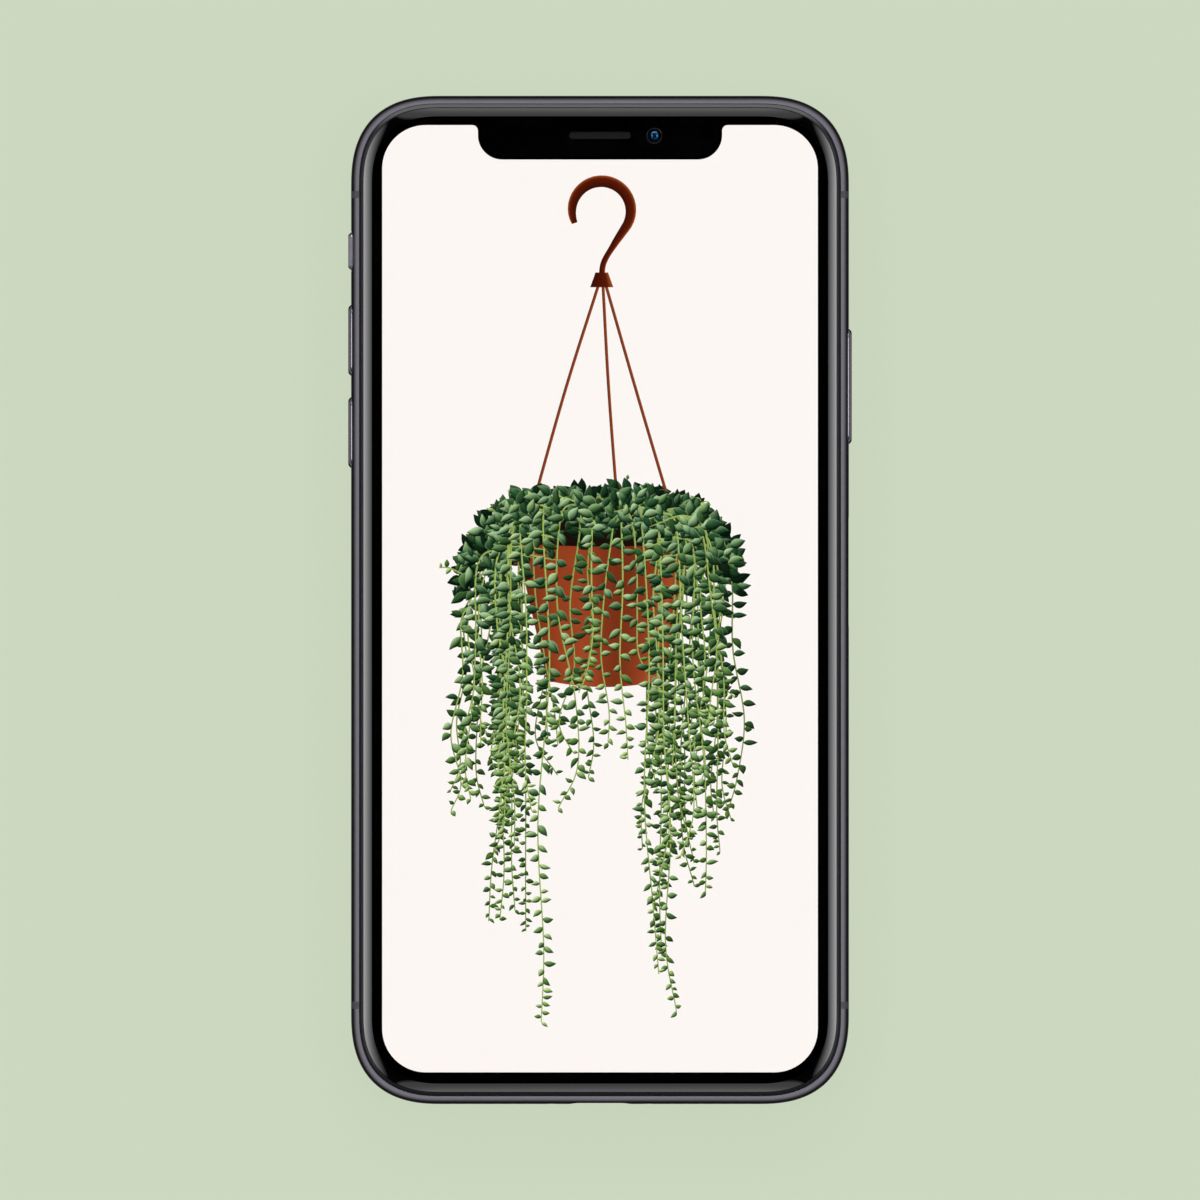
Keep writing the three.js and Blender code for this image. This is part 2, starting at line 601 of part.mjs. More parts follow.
function makeKeys() {
  add("volume_up_key", keyGeometry(VOLUME_UP), FINISHES.key);
  add("volume_down_key", keyGeometry(VOLUME_DOWN), FINISHES.key);
  add("side_key", keyGeometry(SIDE_KEY), FINISHES.key);

  // The mute lever is modelled towards the screen and slides towards the back.
  const leverZ = MID_Z + MUTE.travel / 2;
  const floor = MUTE.windowDepth - 0.1;
  const lever = sidePrism(-1, MUTE.y, leverZ, MUTE.length, MUTE.height, -KEY_OUT, floor, { bevel: 0.2 });
  const stem = sidePrism(-1, MUTE.y, leverZ, 2.6, 0.9, floor - 0.2, WALL + 0.35);
  add("mute_lever", join(lever, stem), FINISHES.key);
  const behind = -WIDTH / 2 + WALL + 0.65;
  const switchPlace = { x: [behind, behind + 2.2], y: [MUTE.y - 3, MUTE.y + 3] };
  add("mute_switch", block(switchPlace, 3.1, 6.5, 0.3), FINISHES.module);

  // Strips behind the keys carry a raised switch for each.
  const face = WIDTH / 2 - WALL - SWITCH_REACH;
  const strip = (side, from, to, ...switches) => {
    const span = (a, b) => (side > 0 ? [a, b] : [-b, -a]);
    const tape = box(...span(face - 0.75, face - 0.45), from, to, 3.0, 6.5);
    const domes = switches.map((y) => box(...span(face - 0.5, face), y - 1.6, y + 1.6, MID_Z - 1.1, MID_Z + 1.1));
    return join(tape, ...domes);
  };
  add("volume_switches", strip(-1, 16, 44, VOLUME_UP.y, VOLUME_DOWN.y), FINISHES.copper);
  add("side_switch", strip(1, 21, 40, SIDE_KEY.y), FINISHES.copper);
}

function makeTray() {
  const outer = 0.04;
  const cover = sidePrism(1, TRAY.y, MID_Z, TRAY.length, TRAY.height, outer, TRAY.cover);
  const x0 = WIDTH / 2 - TRAY.reach;
  const half = TRAY.length / 2 - 0.4;
  const place = { x: [x0, WIDTH / 2 - TRAY.cover + 0.1], y: [TRAY.y - half, TRAY.y + half] };
  const frame = block(place, MID_Z - TRAY.frame / 2, MID_Z + TRAY.frame / 2, 0.6);
  const cardX = x0 + 1.2 + CARD.width / 2;
  const pocketFloor = MID_Z + TRAY.frame / 2 - CARD.depth;
  const pocket = extrude(
    roundedRectangle(CARD.width, CARD.length, 0.8, cardX, TRAY.y),
    pocketFloor,
    pocketFloor + 2,
    1,
  );
  const window = extrude(roundedRectangle(CARD.width - 2, CARD.length - 2, 1, cardX, TRAY.y), 3, 7, 1);
  add("card_tray", cut(join(cover, frame), pocket, window), FINISHES.band);

  // The reader is a folded channel on the board, open towards the slot.
  const top = MID_Z + TRAY.frame / 2 + 0.4;
  const reader = channel(TRAY.length / 2 + 0.7, CHIP_Z, top, 0.3);
  add("card_reader", extrude(reader, 20.6, 30.5).applyMatrix4(ALONG_X).translate(0, TRAY.y, 0), FINISHES.shield);
}

function makeLowerEnd() {
  // The port's shell is a closed-ended cup behind the hole, with a contact tongue standing in it.
  const mouth = WALL + FIT;
  const end = mouth + PORT.depth;
  const outer = endPrism(0, MID_Z, PORT.width + 0.5, PORT.height + 0.5, PORT.height / 2, mouth, end + PORT.shell);
  const inner = endPrism(0, MID_Z, PORT.width - 0.3, PORT.height - 0.3, PORT.height / 2 - 0.2, mouth - 1, end);
  add("port_shell", cut(outer, inner), FINISHES.steel);
  const tongue = endPrism(0, MID_Z, TONGUE.width, TONGUE.height, 0.3, end - TONGUE.reach, end - FIT);
  add("port_tongue", tongue, FINISHES.contact);

  [["left", -1], ["right", 1]].forEach(([name, sign]) => {
    const size = 2 * SCREW.radius;
    const head = endPrism(sign * SCREW.x, MID_Z, size, size, SCREW.radius, 0.35, 1.2);
    const shank = endPrism(sign * SCREW.x, MID_Z, size * 0.7, size * 0.7, SCREW.radius * 0.65, 1.1, WALL + 1.6, 1);
    const socket = new THREE.CylinderGeometry(0.38, 0.38, 0.8, 6)
      .translate(sign * SCREW.x, -LENGTH / 2 + 0.4, MID_Z);
    add(`end_screw_${name}`, cut(join(head, shank), socket), FINISHES.band);
  });

  // A mesh stands behind each row of holes.
  const meshY = WALL + FIT - LENGTH / 2;
  const mesh = (sign) => {
    const [near, far] = MESH.x.map((x) => sign * x);
    return box(
      Math.min(near, far), Math.max(near, far), meshY, meshY + MESH.thick,
      MID_Z - MESH.height / 2, MID_Z + MESH.height / 2,
    );
  };
  add("loudspeaker_mesh", mesh(1), FINISHES.mesh);
  add("microphone_mesh", mesh(-1), FINISHES.mesh);
  add("loudspeaker", block(LOUDSPEAKER, INNER_Z, LOUDSPEAKER.top, 3), FINISHES.module);
  add("microphone", block(MICROPHONE, MICROPHONE.bottom, MICROPHONE.top, 0.6), FINISHES.module);
  add("haptic_motor", block(HAPTIC_MOTOR, INNER_Z, HAPTIC_MOTOR.top, 1.5), FINISHES.steel);
}

function makeInside() {
  const { inner, outer, thick } = COIL;
  const coil = new THREE.LatheGeometry(
    [[inner, 0], [outer, 0], [outer, thick], [inner, thick], [inner, 0]].map(([r, z]) => new THREE.Vector2(r, z)),
    32,
  );
  add("charging_coil", coil.rotateX(Math.PI / 2).translate(0, COIL.y, FLOOR_Z + 0.03), FINISHES.copper);
  const pouch = roundedRectangle(BATTERY.width, BATTERY.length, 1.6, BATTERY.x, BATTERY.y);
  add("battery", softPrism(pouch, INNER_Z, BATTERY.top, 0.3, 1), FINISHES.battery);
  add("logic_board", block(BOARD, INNER_Z, INNER_Z + BOARD.thick, 0.8), FINISHES.board);
  add("lower_shield", block(LOWER_SHIELD, CHIP_Z, CHIP_Z + LOWER_SHIELD.height, 0.6), FINISHES.shield);
  add("upper_shield", block(UPPER_SHIELD, CHIP_Z, CHIP_Z + UPPER_SHIELD.height, 0.6), FINISHES.shield);
}

// Flat cables join the board to the port, the battery and the screen.
function makeCables() {
  const [x0, y0] = PORT_CABLE.start;
  const [x1, y1] = PORT_CABLE.end;
  const { width } = PORT_CABLE;
  const route = [
    [x0, y0], [x1, y0], [x1, y1], [x1 - width, y1], [x1 - width, y0 + width], [x0, y0 + width],
  ];
  const run = new THREE.Shape(route.map(([x, y]) => new THREE.Vector2(x, y)));
  add("port_cable", extrude(run, FLOOR_Z + 0.05, FLOOR_Z + 0.05 + CABLE_THICK), FINISHES.copper);

  add("battery_cable", block(BATTERY_CABLE, CHIP_Z, CHIP_Z + CABLE_THICK, 0.5), FINISHES.copper);

  const [back, front] = DISPLAY_CABLE.y;
  const fold = [
    [back, CHIP_Z], [front, CHIP_Z], [front, CEILING_Z], [front - CABLE_THICK, CEILING_Z],
    [front - CABLE_THICK, CHIP_Z + CABLE_THICK], [back, CHIP_Z + CABLE_THICK],
  ];
  const side = new THREE.Shape(fold.map(([y, z]) => new THREE.Vector2(y, z)));
  add("display_cable", extrude(side, ...DISPLAY_CABLE.x).applyMatrix4(ALONG_X), FINISHES.copper);
}

makeBand();
makeFront();
makeSensors();
makeBack();
makeKeys();
makeTray();
makeLowerEnd();
makeInside();
makeCables();

export default phone;
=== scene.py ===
"""Notched smartphone: the finish of every surface, modelled around the phone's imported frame.

The phone lies on its back, with +Z out of the screen and +Y up to the notch. Shapes are modelled in
millimetres in the frame's own axes, and each finished mesh is scaled to metres. Distances called inset are
measured in from the silhouette of the body.
"""

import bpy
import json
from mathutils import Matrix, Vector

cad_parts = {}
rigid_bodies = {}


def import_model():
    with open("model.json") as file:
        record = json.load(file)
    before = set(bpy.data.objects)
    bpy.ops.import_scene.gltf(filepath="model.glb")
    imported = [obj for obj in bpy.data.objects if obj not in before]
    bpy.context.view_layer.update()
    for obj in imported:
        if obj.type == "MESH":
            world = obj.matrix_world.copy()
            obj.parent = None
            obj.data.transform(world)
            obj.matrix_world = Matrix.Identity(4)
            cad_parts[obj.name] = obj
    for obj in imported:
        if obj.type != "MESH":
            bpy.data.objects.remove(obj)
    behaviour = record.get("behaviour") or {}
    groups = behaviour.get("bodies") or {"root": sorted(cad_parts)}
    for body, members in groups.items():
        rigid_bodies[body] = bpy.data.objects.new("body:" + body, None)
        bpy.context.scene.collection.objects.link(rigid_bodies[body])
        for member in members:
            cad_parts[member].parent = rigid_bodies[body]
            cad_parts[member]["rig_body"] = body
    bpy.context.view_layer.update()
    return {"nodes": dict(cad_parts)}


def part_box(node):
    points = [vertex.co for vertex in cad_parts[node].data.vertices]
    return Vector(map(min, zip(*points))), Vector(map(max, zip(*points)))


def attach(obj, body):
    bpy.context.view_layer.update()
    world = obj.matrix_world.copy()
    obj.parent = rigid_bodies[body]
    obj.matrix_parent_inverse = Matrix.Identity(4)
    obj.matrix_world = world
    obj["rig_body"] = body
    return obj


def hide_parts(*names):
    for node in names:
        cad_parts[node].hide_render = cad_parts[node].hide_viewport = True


bl_info = {
    "name": "Notched Smartphone",
    "version": (1, 0, 0),
    "blender": (4, 5, 0),
    "location": "3D View > Sidebar > Phone",
    "description": "Models a smartphone with a notched screen around its frame",
    "category": "Add Mesh",
}

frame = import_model()

import json
import math
import random

import bmesh
import bpy
from bpy.props import FloatProperty, FloatVectorProperty, IntProperty, PointerProperty
from mathutils import Vector

MM = 0.001
SAME = 1e-4  # points nearer to each other than this are one, in millimetres


def span(*nodes):
    """The middle and the size of the box round some CAD nodes, in millimetres."""
    lows, highs = zip(*(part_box(node) for node in nodes))
    low = Vector([min(corner[i] for corner in lows) for i in range(3)]) / MM
    high = Vector([max(corner[i] for corner in highs) for i in range(3)]) / MM
    return (low + high) / 2, high - low


def heights(node):
    """The lowest and the highest level of a CAD node, in millimetres."""
    middle, size = span(node)
    return middle.z - size.z / 2, middle.z + size.z / 2


def linear(code):
    """A colour from its sRGB hex code, as the linear numbers that shaders take."""
    channels = [int(code[i : i + 2], 16) / 255 for i in (1, 3, 5)]
    return tuple(c / 12.92 if c <= 0.04045 else ((c + 0.055) / 1.055) ** 2.4 for c in channels) + (1.0,)


def mixed(first, second, share):
    """A colour between two others."""
    return tuple(a + (b - a) * share for a, b in zip(first, second))


BLACK = linear("#000000")
WHITE = linear("#FFFFFF")

BANDS = ("band_top", "band_left", "band_right", "band_bottom")
BODY_MIDDLE, BODY_SIZE = span("back_glass", "front_glass", *BANDS)

# Places that the frame doesn't give by itself, in millimetres
GAP = 0.05  # between pieces that fit closely
BAND_FRONT_EDGE = 1.15  # insets of the band's edges and of its inner face
BAND_BACK_EDGE = 1.25
WALL = 2.3
BEZEL_EDGE = 1.7
GLASS_EDGE = 1.79  # insets of the front glass's edge, and of where its flat face begins
GLASS_FLAT = 2.97
GLASS_UNDER = 7.95  # heights of the front glass's underside and of the display panel's faces
PANEL_TOP = 7.75
PANEL_UNDER = 7.2
THROUGH = (-1, WALL + 1)  # insets between which a cut goes right through the band
KEY_PLAY = 0.08
FLANGE_RIM = 0.35  # how far the flange that keeps a key in stands out round it
LENS_BORE = 3.75
PUPILS = {"wide": 1.9, "tele": 1.45}  # radius of the opening over each rear camera's lens


def length_setting(name, description, millimetres):
    """A size that a user can change."""
    return FloatProperty(
        name=name, description=description, default=millimetres * MM, min=0.0, precision=5,
        unit="LENGTH", subtype="DISTANCE",
    )


def power_setting(name, description, power):
    """The power of a superellipse, which is round at 2 and nearly square at 4."""
    return FloatProperty(name=name, description=description, default=power, min=2.0, max=4.0)


def color_setting(name, description, code):
    """A colour that a user can change."""
    return FloatVectorProperty(
        name=name, description=description, default=linear(code), size=4, min=0.0, max=1.0,
        subtype="COLOR",
    )


class PhoneBody(bpy.types.PropertyGroup):
    """Sizes of the body and of its keys."""

    width: length_setting("Width", "Across the band, without the keys", BODY_SIZE.x)
    length: length_setting("Length", "From the port's end to the notch's end", BODY_SIZE.y)
    thickness: length_setting("Thickness", "From the back glass to the front glass", BODY_SIZE.z)
    corner: length_setting("Corner reach", "How far each rounded corner runs along the sides", 12.9)
    corner_power: power_setting("Corner power", "Power of the corner's superellipse", 2.5)
    edge: length_setting("Edge run", "How far in the rounded side reaches", 2.95)
    edge_power: power_setting("Edge power", "Power of the side's superellipse", 2.3)
    key_chamfer: length_setting("Key chamfer", "Width of the cut edge round each key", 0.41)


class PhoneScreen(bpy.types.PropertyGroup):
    """What the lit screen shows."""

    seed: IntProperty(name="Seed", description="Seed of the picture's random draws", default=11, min=0)
    fullness: FloatProperty(
        name="Fullness", description="How many stems trail", default=1.0, min=0.1, max=2.0,
    )
    backdrop: color_setting("Backdrop", "Colour behind the picture", "#FCF7F3")
    pot: color_setting("Pot", "Colour of the pictured pot", "#9A4322")
    leaf_dark: color_setting("Leaf shade", "Colour of a leaf's body", "#2B5733")
    leaf_light: color_setting("Leaf light", "Colour of a leaf's bloom", "#A3C491")


class PhoneFinish(bpy.types.PropertyGroup):
    """Colours of the phone and of the ground it lies on."""

    band: color_setting("Band", "Coated steel of the band", "#7A7880")
    keys: color_setting("Keys", "Coated steel of the keys", "#646268")
    breaks: color_setting("Antenna breaks", "Plastic between the stretches of band", "#3A383E")
    back: color_setting("Back", "Glass of the back", "#0B0B0D")
    ground: color_setting("Ground", "Floor of the studio", "#CBD8BF")


# Mesh building

UP, DOWN, LEFT, RIGHT = (0, 1, 0), (0, -1, 0), (-1, 0, 0), (1, 0, 0)


class Shell:
    """The body's outline and rounded side, in millimetres, from the settings."""

    corner_steps = 32

    def __init__(self):
        body = bpy.context.scene.phone_body
        self.half_width = body.width / MM / 2
        self.half_length = body.length / MM / 2
        self.half_thick = body.thickness / MM / 2
        self.middle = BODY_MIDDLE.z
        self.front = self.middle + self.half_thick
        self.back = self.middle - self.half_thick
        self.corner = body.corner / MM
        self.corner_power = body.corner_power
        self.edge = body.edge / MM
        self.edge_power = body.edge_power

    def rise(self, inset):
        """How far the side's surface lies from the middle height, at an inset."""
        return self.half_thick * (1 - (1 - inset / self.edge) ** self.edge_power) ** (1 / self.edge_power)

    def side_curve(self, front_inset, back_inset, steps):
        """The side's section as (inset, z) pairs, from the front edge round to the back edge."""
        first, last = (
            math.acos((1 - inset / self.edge) ** (self.edge_power / 2))
            for inset in (front_inset, back_inset)
        )
        section = []
        for i in range(steps + 1):
            turn = first - (first + last) * i / steps
            inset = self.edge * (1 - math.cos(turn) ** (2 / self.edge_power))
            rise = self.half_thick * abs(math.sin(turn)) ** (2 / self.edge_power)
            section.append((inset, self.middle + math.copysign(rise, turn)))
        return section

    def outline(self, inset, z):
        """Points round the body at an inset and a height, anticlockwise."""
        reach = self.corner - inset
        x, y = self.half_width - self.corner, self.half_length - self.corner
        power = 2 / self.corner_power
        corner = []
        for i in range(self.corner_steps + 1):
            turn = math.pi / 2 * i / self.corner_steps
            corner.append([max(0.0, f(turn)) ** power * reach for f in (math.cos, math.sin)])
        quarters = (
            [(x + a, y + b) for a, b in corner],
            [(-x - b, y + a) for a, b in corner],
            [(-x - a, -y - b) for a, b in corner],
            [(x + b, -y - a) for a, b in corner],
        )
        return [(a, b, z) for quarter in quarters for a, b in quarter]

    def wrapped(self, section, closed=False):
        """A solid with a section, given as (inset, z) pairs, that runs all round the body."""
        return skinned([self.outline(inset, z) for inset, z in section], closed)


def arc(x, y, radius, start, stop, steps):
    """Points of an arc, with its ends given in degrees."""
    turns = [math.radians(start + (stop - start) * i / steps) for i in range(steps + 1)]
    return [(x + radius * math.cos(turn), y + radius * math.sin(turn)) for turn in turns]


def rounded(width, height, radius, x=0.0, y=0.0, steps=10):
    """The outline of a rounded rectangle. With a radius of half its height it is a bar with round ends."""
    shortest = 1e-3
    radius = min(radius, width / 2 - shortest, height / 2 - shortest)
    right, top = width / 2 - radius, height / 2 - radius
    points = []
    for i, (a, b) in enumerate(((1, 1), (-1, 1), (-1, -1), (1, -1))):
        points += arc(x + a * right, y + b * top, radius, 90 * i, 90 * i + 90, steps)
    return points


def raised(points, z):
    """The points of a flat outline, at a height."""
    return [(x, y, z) for x, y in points]


def loop_through(bm, points):
    """A closed loop of edges through points."""
    verts = [bm.verts.new(point) for point in points]
    return [bm.edges.new(pair) for pair in zip(verts, verts[1:] + verts[:1])]


def skinned(outlines, closed=False):
    """A solid whose skin passes through outlines, as a closed ring or with a flat end at either end."""
    bm = bmesh.new()
    loops = [loop_through(bm, points) for points in outlines]
    if not closed:
        bmesh.ops.edgeloop_fill(bm, edges=loops[0])
        bmesh.ops.edgeloop_fill(bm, edges=loops[-1])
    following = loops[1:] + (loops[:1] if closed else [])
    for near, far in zip(loops, following):
        bmesh.ops.bridge_loops(bm, edges=near + far)
    bmesh.ops.recalc_face_normals(bm, faces=bm.faces)
    return bm


def upright(points, low, high):
    """A solid with a flat outline, between two heights."""
    return skinned([raised(points, z) for z in (low, high)])


def straight(start, stop, *section):
    """Two levels with one section, for a stretch of a solid let into a side or an end."""
    return [(start, *section), (stop, *section)]


def rod(start, stop, radius):
    """Two levels of a round stretch."""
    return straight(start, stop, 2 * radius, 2 * radius, radius)


def from_side(side, y, z, levels):
    """A solid let into the left (-1) or right (1) side. levels are (inset, length, height, radius)."""
    half = Shell().half_width
    return skinned([
        [(side * (half - inset), y + a, z + b) for a, b in rounded(length, height, radius)]
        for inset, length, height, radius in levels
    ])


def from_end(x, z, levels, steps=10):
    """A solid let into the lower end. levels are (inset, width, height, radius)."""
    half = Shell().half_length
    return skinned([
        [(x + a, inset - half, z + b) for a, b in rounded(width, height, radius, steps=steps)]
        for inset, width, height, radius in levels
    ])


def turned(profile, x, y, closed=False, steps=64):
    """A body turned round an upright axis, from (radius, z) pairs that close or end on the axis."""
    bm = bmesh.new()
    verts = [bm.verts.new((x + radius, y, z)) for radius, z in profile]
    following = verts[1:] + (verts[:1] if closed else [])
    edges = [bm.edges.new(pair) for pair in zip(verts, following)]
    bmesh.ops.spin(
        bm, geom=verts + edges, cent=(x, y, 0), axis=(0, 0, 1), angle=math.tau, steps=steps,
        use_merge=True,
    )
    bmesh.ops.remove_doubles(bm, verts=bm.verts, dist=SAME)
    bmesh.ops.recalc_face_normals(bm, faces=bm.faces)
    return bm


def pane(node, cut):
    """A round pane in the place of a CAD node, with a cut edge round its outer face."""
    middle, size = span(node)
    low, high = heights(node)
    radius = size.x / 2
    profile = [(0, low), (radius - cut, low), (radius, low + cut), (radius, high), (0, high)]
    return turned(profile, middle.x, middle.y)


def soften(bm, width, segments, chosen):
    """Rounds off the edges that chosen picks."""
    bmesh.ops.bevel(
        bm, geom=[edge for edge in bm.edges if chosen(edge)], offset=width, segments=segments, profile=0.5,
        affect="EDGES", material=-1,
    )


def lying(axis, *places):
    """Picks the edges that lie wholly at one of some places along an axis."""
    return lambda edge: any(
        all(abs(getattr(vert.co, axis) - place) < SAME for vert in edge.verts) for place in places
    )


def joined(*parts):
    """Several meshes as one, left as they are."""
    whole = bmesh.new()
    for part in parts:
        mesh = bpy.data.meshes.new("part")
        part.to_mesh(mesh)
        part.free()
        whole.from_mesh(mesh)
        bpy.data.meshes.remove(mesh)
    return whole


def carved(body, tool, operation="DIFFERENCE"):
    """The body with the tool cut out of it or joined to it, by one Boolean modifier that is applied."""
    objects = []
    for part in (body, tool):
        mesh = bpy.data.meshes.new("carving")
        part.to_mesh(mesh)
        part.free()
        objects.append(bpy.data.objects.new("carving", mesh))
        bpy.context.scene.collection.objects.link(objects[-1])
    modifier = objects[0].modifiers.new("carve", "BOOLEAN")
    modifier.object = objects[1]
    modifier.operation = operation
    modifier.solver = "EXACT"
    evaluated = objects[0].evaluated_get(bpy.context.evaluated_depsgraph_get())
    result = bmesh.new()
    result.from_mesh(evaluated.data)
    for obj in objects:
        bpy.data.meshes.remove(obj.data)
    return result


def sliced(source, *cuts):
    """A copy of a mesh without what lies past each flat cut. A cut is (distance, direction)."""
    part = source.copy()
    for distance, direction in cuts:
        geometry = part.verts[:] + part.edges[:] + part.faces[:]
        made = bmesh.ops.bisect_plane(
            part, geom=geometry, dist=1e-5, plane_co=Vector(direction) * distance, plane_no=direction,
            clear_outer=True,
        )
        edges = [item for item in made["geom_cut"] if isinstance(item, bmesh.types.BMEdge)]
        bmesh.ops.holes_fill(part, edges=edges)
    return part


def placed(name, bm, finish, sharp=30.0):
    """Makes a piece of a mesh in millimetres, in place of the CAD node of its name if there is one."""
    bmesh.ops.recalc_face_normals(bm, faces=bm.faces)
    for edge in bm.edges:
        edge.smooth = edge.calc_face_angle(0.0) < math.radians(sharp)
    for face in bm.faces:
        face.smooth = True
    bmesh.ops.scale(bm, vec=(MM, MM, MM), verts=bm.verts)
    mesh = bpy.data.meshes.new(name)
    bm.to_mesh(mesh)
    bm.free()
    mesh.materials.append(bpy.data.materials[finish])
    piece = bpy.data.objects.new(name, mesh)
    bpy.context.scene.collection.objects.link(piece)
    nodes = [name] if name in frame["nodes"] else []
    body = None if nodes else "case"
    if nodes:
        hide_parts(*nodes)
    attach(piece, body or frame["nodes"][nodes[0]]["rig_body"])
    return piece


# Finishes

GLASS_IOR = 1.51
INK_DEEP = linear("#010102")
INK = linear("#030303")
PAINT = "paint"
PANEL_GAIN = 1.085  # makes up for what the glass reflects
LIT_PANEL = {"Base_Color": INK, "Specular_IOR_Level": 0.0, "Emission_Strength": PANEL_GAIN}


def add(tree, kind, sockets=None, **settings):
    """Adds a node with its settings. A socket takes a value, or another node's output as a link."""
    made = tree.nodes.new(kind)
    for key, value in settings.items():
        setattr(made, key, value)
    for socket, value in (sockets or {}).items():
        if isinstance(value, bpy.types.NodeSocket):
            tree.links.new(value, made.inputs[socket])
        else:
            made.inputs[socket].default_value = value
    return made


def started(name, **sockets):
    """Makes a material with one Principled shader. Returns its tree, shader and Object coordinates."""
    material = bpy.data.materials.new(name)
    material.use_nodes = True
    tree = material.node_tree
    shader = tree.nodes["Principled BSDF"]
    for socket, value in sockets.items():
        shader.inputs[socket.replace("_", " ")].default_value = value
    place = add(tree, "ShaderNodeTexCoord").outputs["Object"]
    return tree, shader, place


def per_metre(millimetres):
    """The scale that gives a texture features of a size in millimetres."""
    return 1 / (millimetres * MM)


def wave_scale(millimetres):
    """The scale that sets a Wave texture's waves a distance apart. It turns by 20 radians in a unit."""
    return math.tau / 20 * per_metre(millimetres)


def varied(tree, place, millimetres, low=0.0, high=1.0, detail=2.0):
    """A value that wanders between two limits, in patches of a size in millimetres."""
    noise = add(
        tree, "ShaderNodeTexNoise", {"Vector": place, "Scale": per_metre(millimetres), "Detail": detail},
    )
    limits = {"From Min": 0.3, "From Max": 0.7, "To Min": low, "To Max": high}
    return add(tree, "ShaderNodeMapRange", {"Value": noise.outputs["Fac"], **limits}).outputs["Result"]


def ringed(tree, place, node, millimetres):
    """Rings round the upright axis of a CAD node, a distance apart."""
    axis = span(node)[0]
    centred = add(tree, "ShaderNodeMapping", {"Vector": place, "Location": (-axis.x * MM, -axis.y * MM, 0)})
    return add(
        tree, "ShaderNodeTexWave", {"Vector": centred.outputs["Vector"], "Scale": wave_scale(millimetres)},
        wave_type="RINGS", rings_direction="Z",
    ).outputs["Fac"]


def roughened(tree, shader, place, millimetres, low, high, detail=2.0):
    """Lets the surface's roughness wander between two limits."""
    tree.links.new(varied(tree, place, millimetres, low, high, detail), shader.inputs["Roughness"])


def bumped(tree, shader, height, depth, strength):
    """Raises the surface by a pattern, to a depth in millimetres."""
    bump = add(tree, "ShaderNodeBump", {"Height": height, "Strength": strength, "Distance": depth * MM})
    tree.links.new(bump.outputs["Normal"], shader.inputs["Normal"])


def shaded(tree, shader, factor, first, second, socket="Base Color"):
    """Colours the surface between two colours by a pattern."""
    mix = add(tree, "ShaderNodeMix", {0: factor, 6: first, 7: second}, data_type="RGBA")
    tree.links.new(mix.outputs[2], shader.inputs[socket])


def coated_steel(name, color, roughness=0.2):
    """Polished stainless steel under a thin dark coating: a deep mirror with soft edges."""
    tree, shader, place = started(name, Metallic=1.0)
    roughened(tree, shader, place, 0.6, roughness - 0.02, roughness + 0.03)
    shaded(tree, shader, varied(tree, place, 1.5), color, mixed(color, BLACK, 0.06))
    # Polishing leaves marks of about 0.03 mm, drawn at 0.15 mm so that they show
    bumped(tree, shader, varied(tree, place, 0.15, detail=1.0), 0.0008, 0.15)


def moulded_plastic(name, color, roughness, specular=0.5):
    """Injection-moulded plastic: an even dark body with a fine spark-eroded grain."""
    tree, shader, place = started(name, Roughness=roughness, Specular_IOR_Level=specular)
    grain = 0.15
    shaded(tree, shader, varied(tree, place, 2 * grain), color, mixed(color, BLACK, 0.2))
    bumped(tree, shader, varied(tree, place, grain), 0.002, 0.5)


def clear_glass(name, ior, tint=WHITE):
    """Polished, clear glass: a mirror at its edge and nothing to see face on but a trace of wiping."""
    tree, shader, place = started(name, Transmission_Weight=1.0, IOR=ior, Base_Color=tint)
    roughened(tree, shader, place, 9.0, 0.0, 0.008, 4.0)


def inked_glass():
    """The front glass where black ink backs it: only the reflection in its polished face shows."""
    tree, shader, place = started("inked_glass", IOR=GLASS_IOR)
    roughened(tree, shader, place, 9.0, 0.01, 0.02, 4.0)
    shaded(tree, shader, varied(tree, place, 0.3), INK_DEEP, INK)


def dark_glass(name, color, roughness):
    """Glass painted black behind: deep black under a hard, wet-looking face."""
    tree, shader, place = started(name, IOR=GLASS_IOR, Coat_Weight=0.3, Coat_Roughness=0.02)
    roughened(tree, shader, place, 14.0, roughness, roughness + 0.03, 5.0)
    # The paint has a fine flake, at about 0.2 mm
    shaded(tree, shader, varied(tree, place, 0.2), color, mixed(color, WHITE, 0.006))


def screen_ink():
    """Black ink printed behind the glass: it swallows light."""
    tree, shader, place = started("screen_ink", Roughness=0.8, Specular_IOR_Level=0.0)
    shaded(tree, shader, varied(tree, place, 0.3), INK_DEEP, INK)


def lit_backdrop(color):
    """An organic LED panel lit in one pale colour, with hardly any fall-off to its edges."""
    tree, shader, place = started("lit_backdrop", **LIT_PANEL)
    shaded(tree, shader, varied(tree, place, 30.0, 0.998), BLACK, color, "Emission Color")


def lit_picture():
    """The panel's lit picture: each point shines in the colour painted on it."""
    tree, shader, _ = started("lit_picture", **LIT_PANEL)
    paint = add(tree, "ShaderNodeAttribute", attribute_name=PAINT)
    tree.links.new(paint.outputs["Color"], shader.inputs["Emission Color"])


def turned_steel(name, node):
    """Steel turned on a lathe and coated dark: rings that draw light into a cross."""
    tree, shader, place = started(name, Metallic=1.0, Roughness=0.16, Base_Color=linear("#4A494F"))
    # Tool marks are too fine to show, so they are drawn 0.63 mm apart
    bumped(tree, shader, ringed(tree, place, node, 0.6283), 0.0006, 0.5)


def coated_lens(name, color, film):
    """A lens with an anti-reflection film, in nanometres: near black, with a coloured gleam."""
    tree, shader, place = started(
        name, IOR=1.7, Thin_Film_Thickness=film, Thin_Film_IOR=1.5, Specular_IOR_Level=0.5,
    )
    roughened(tree, shader, place, 0.8, 0.02, 0.03)
    shaded(tree, shader, varied(tree, place, 1.2), color, mixed(color, BLACK, 0.3))


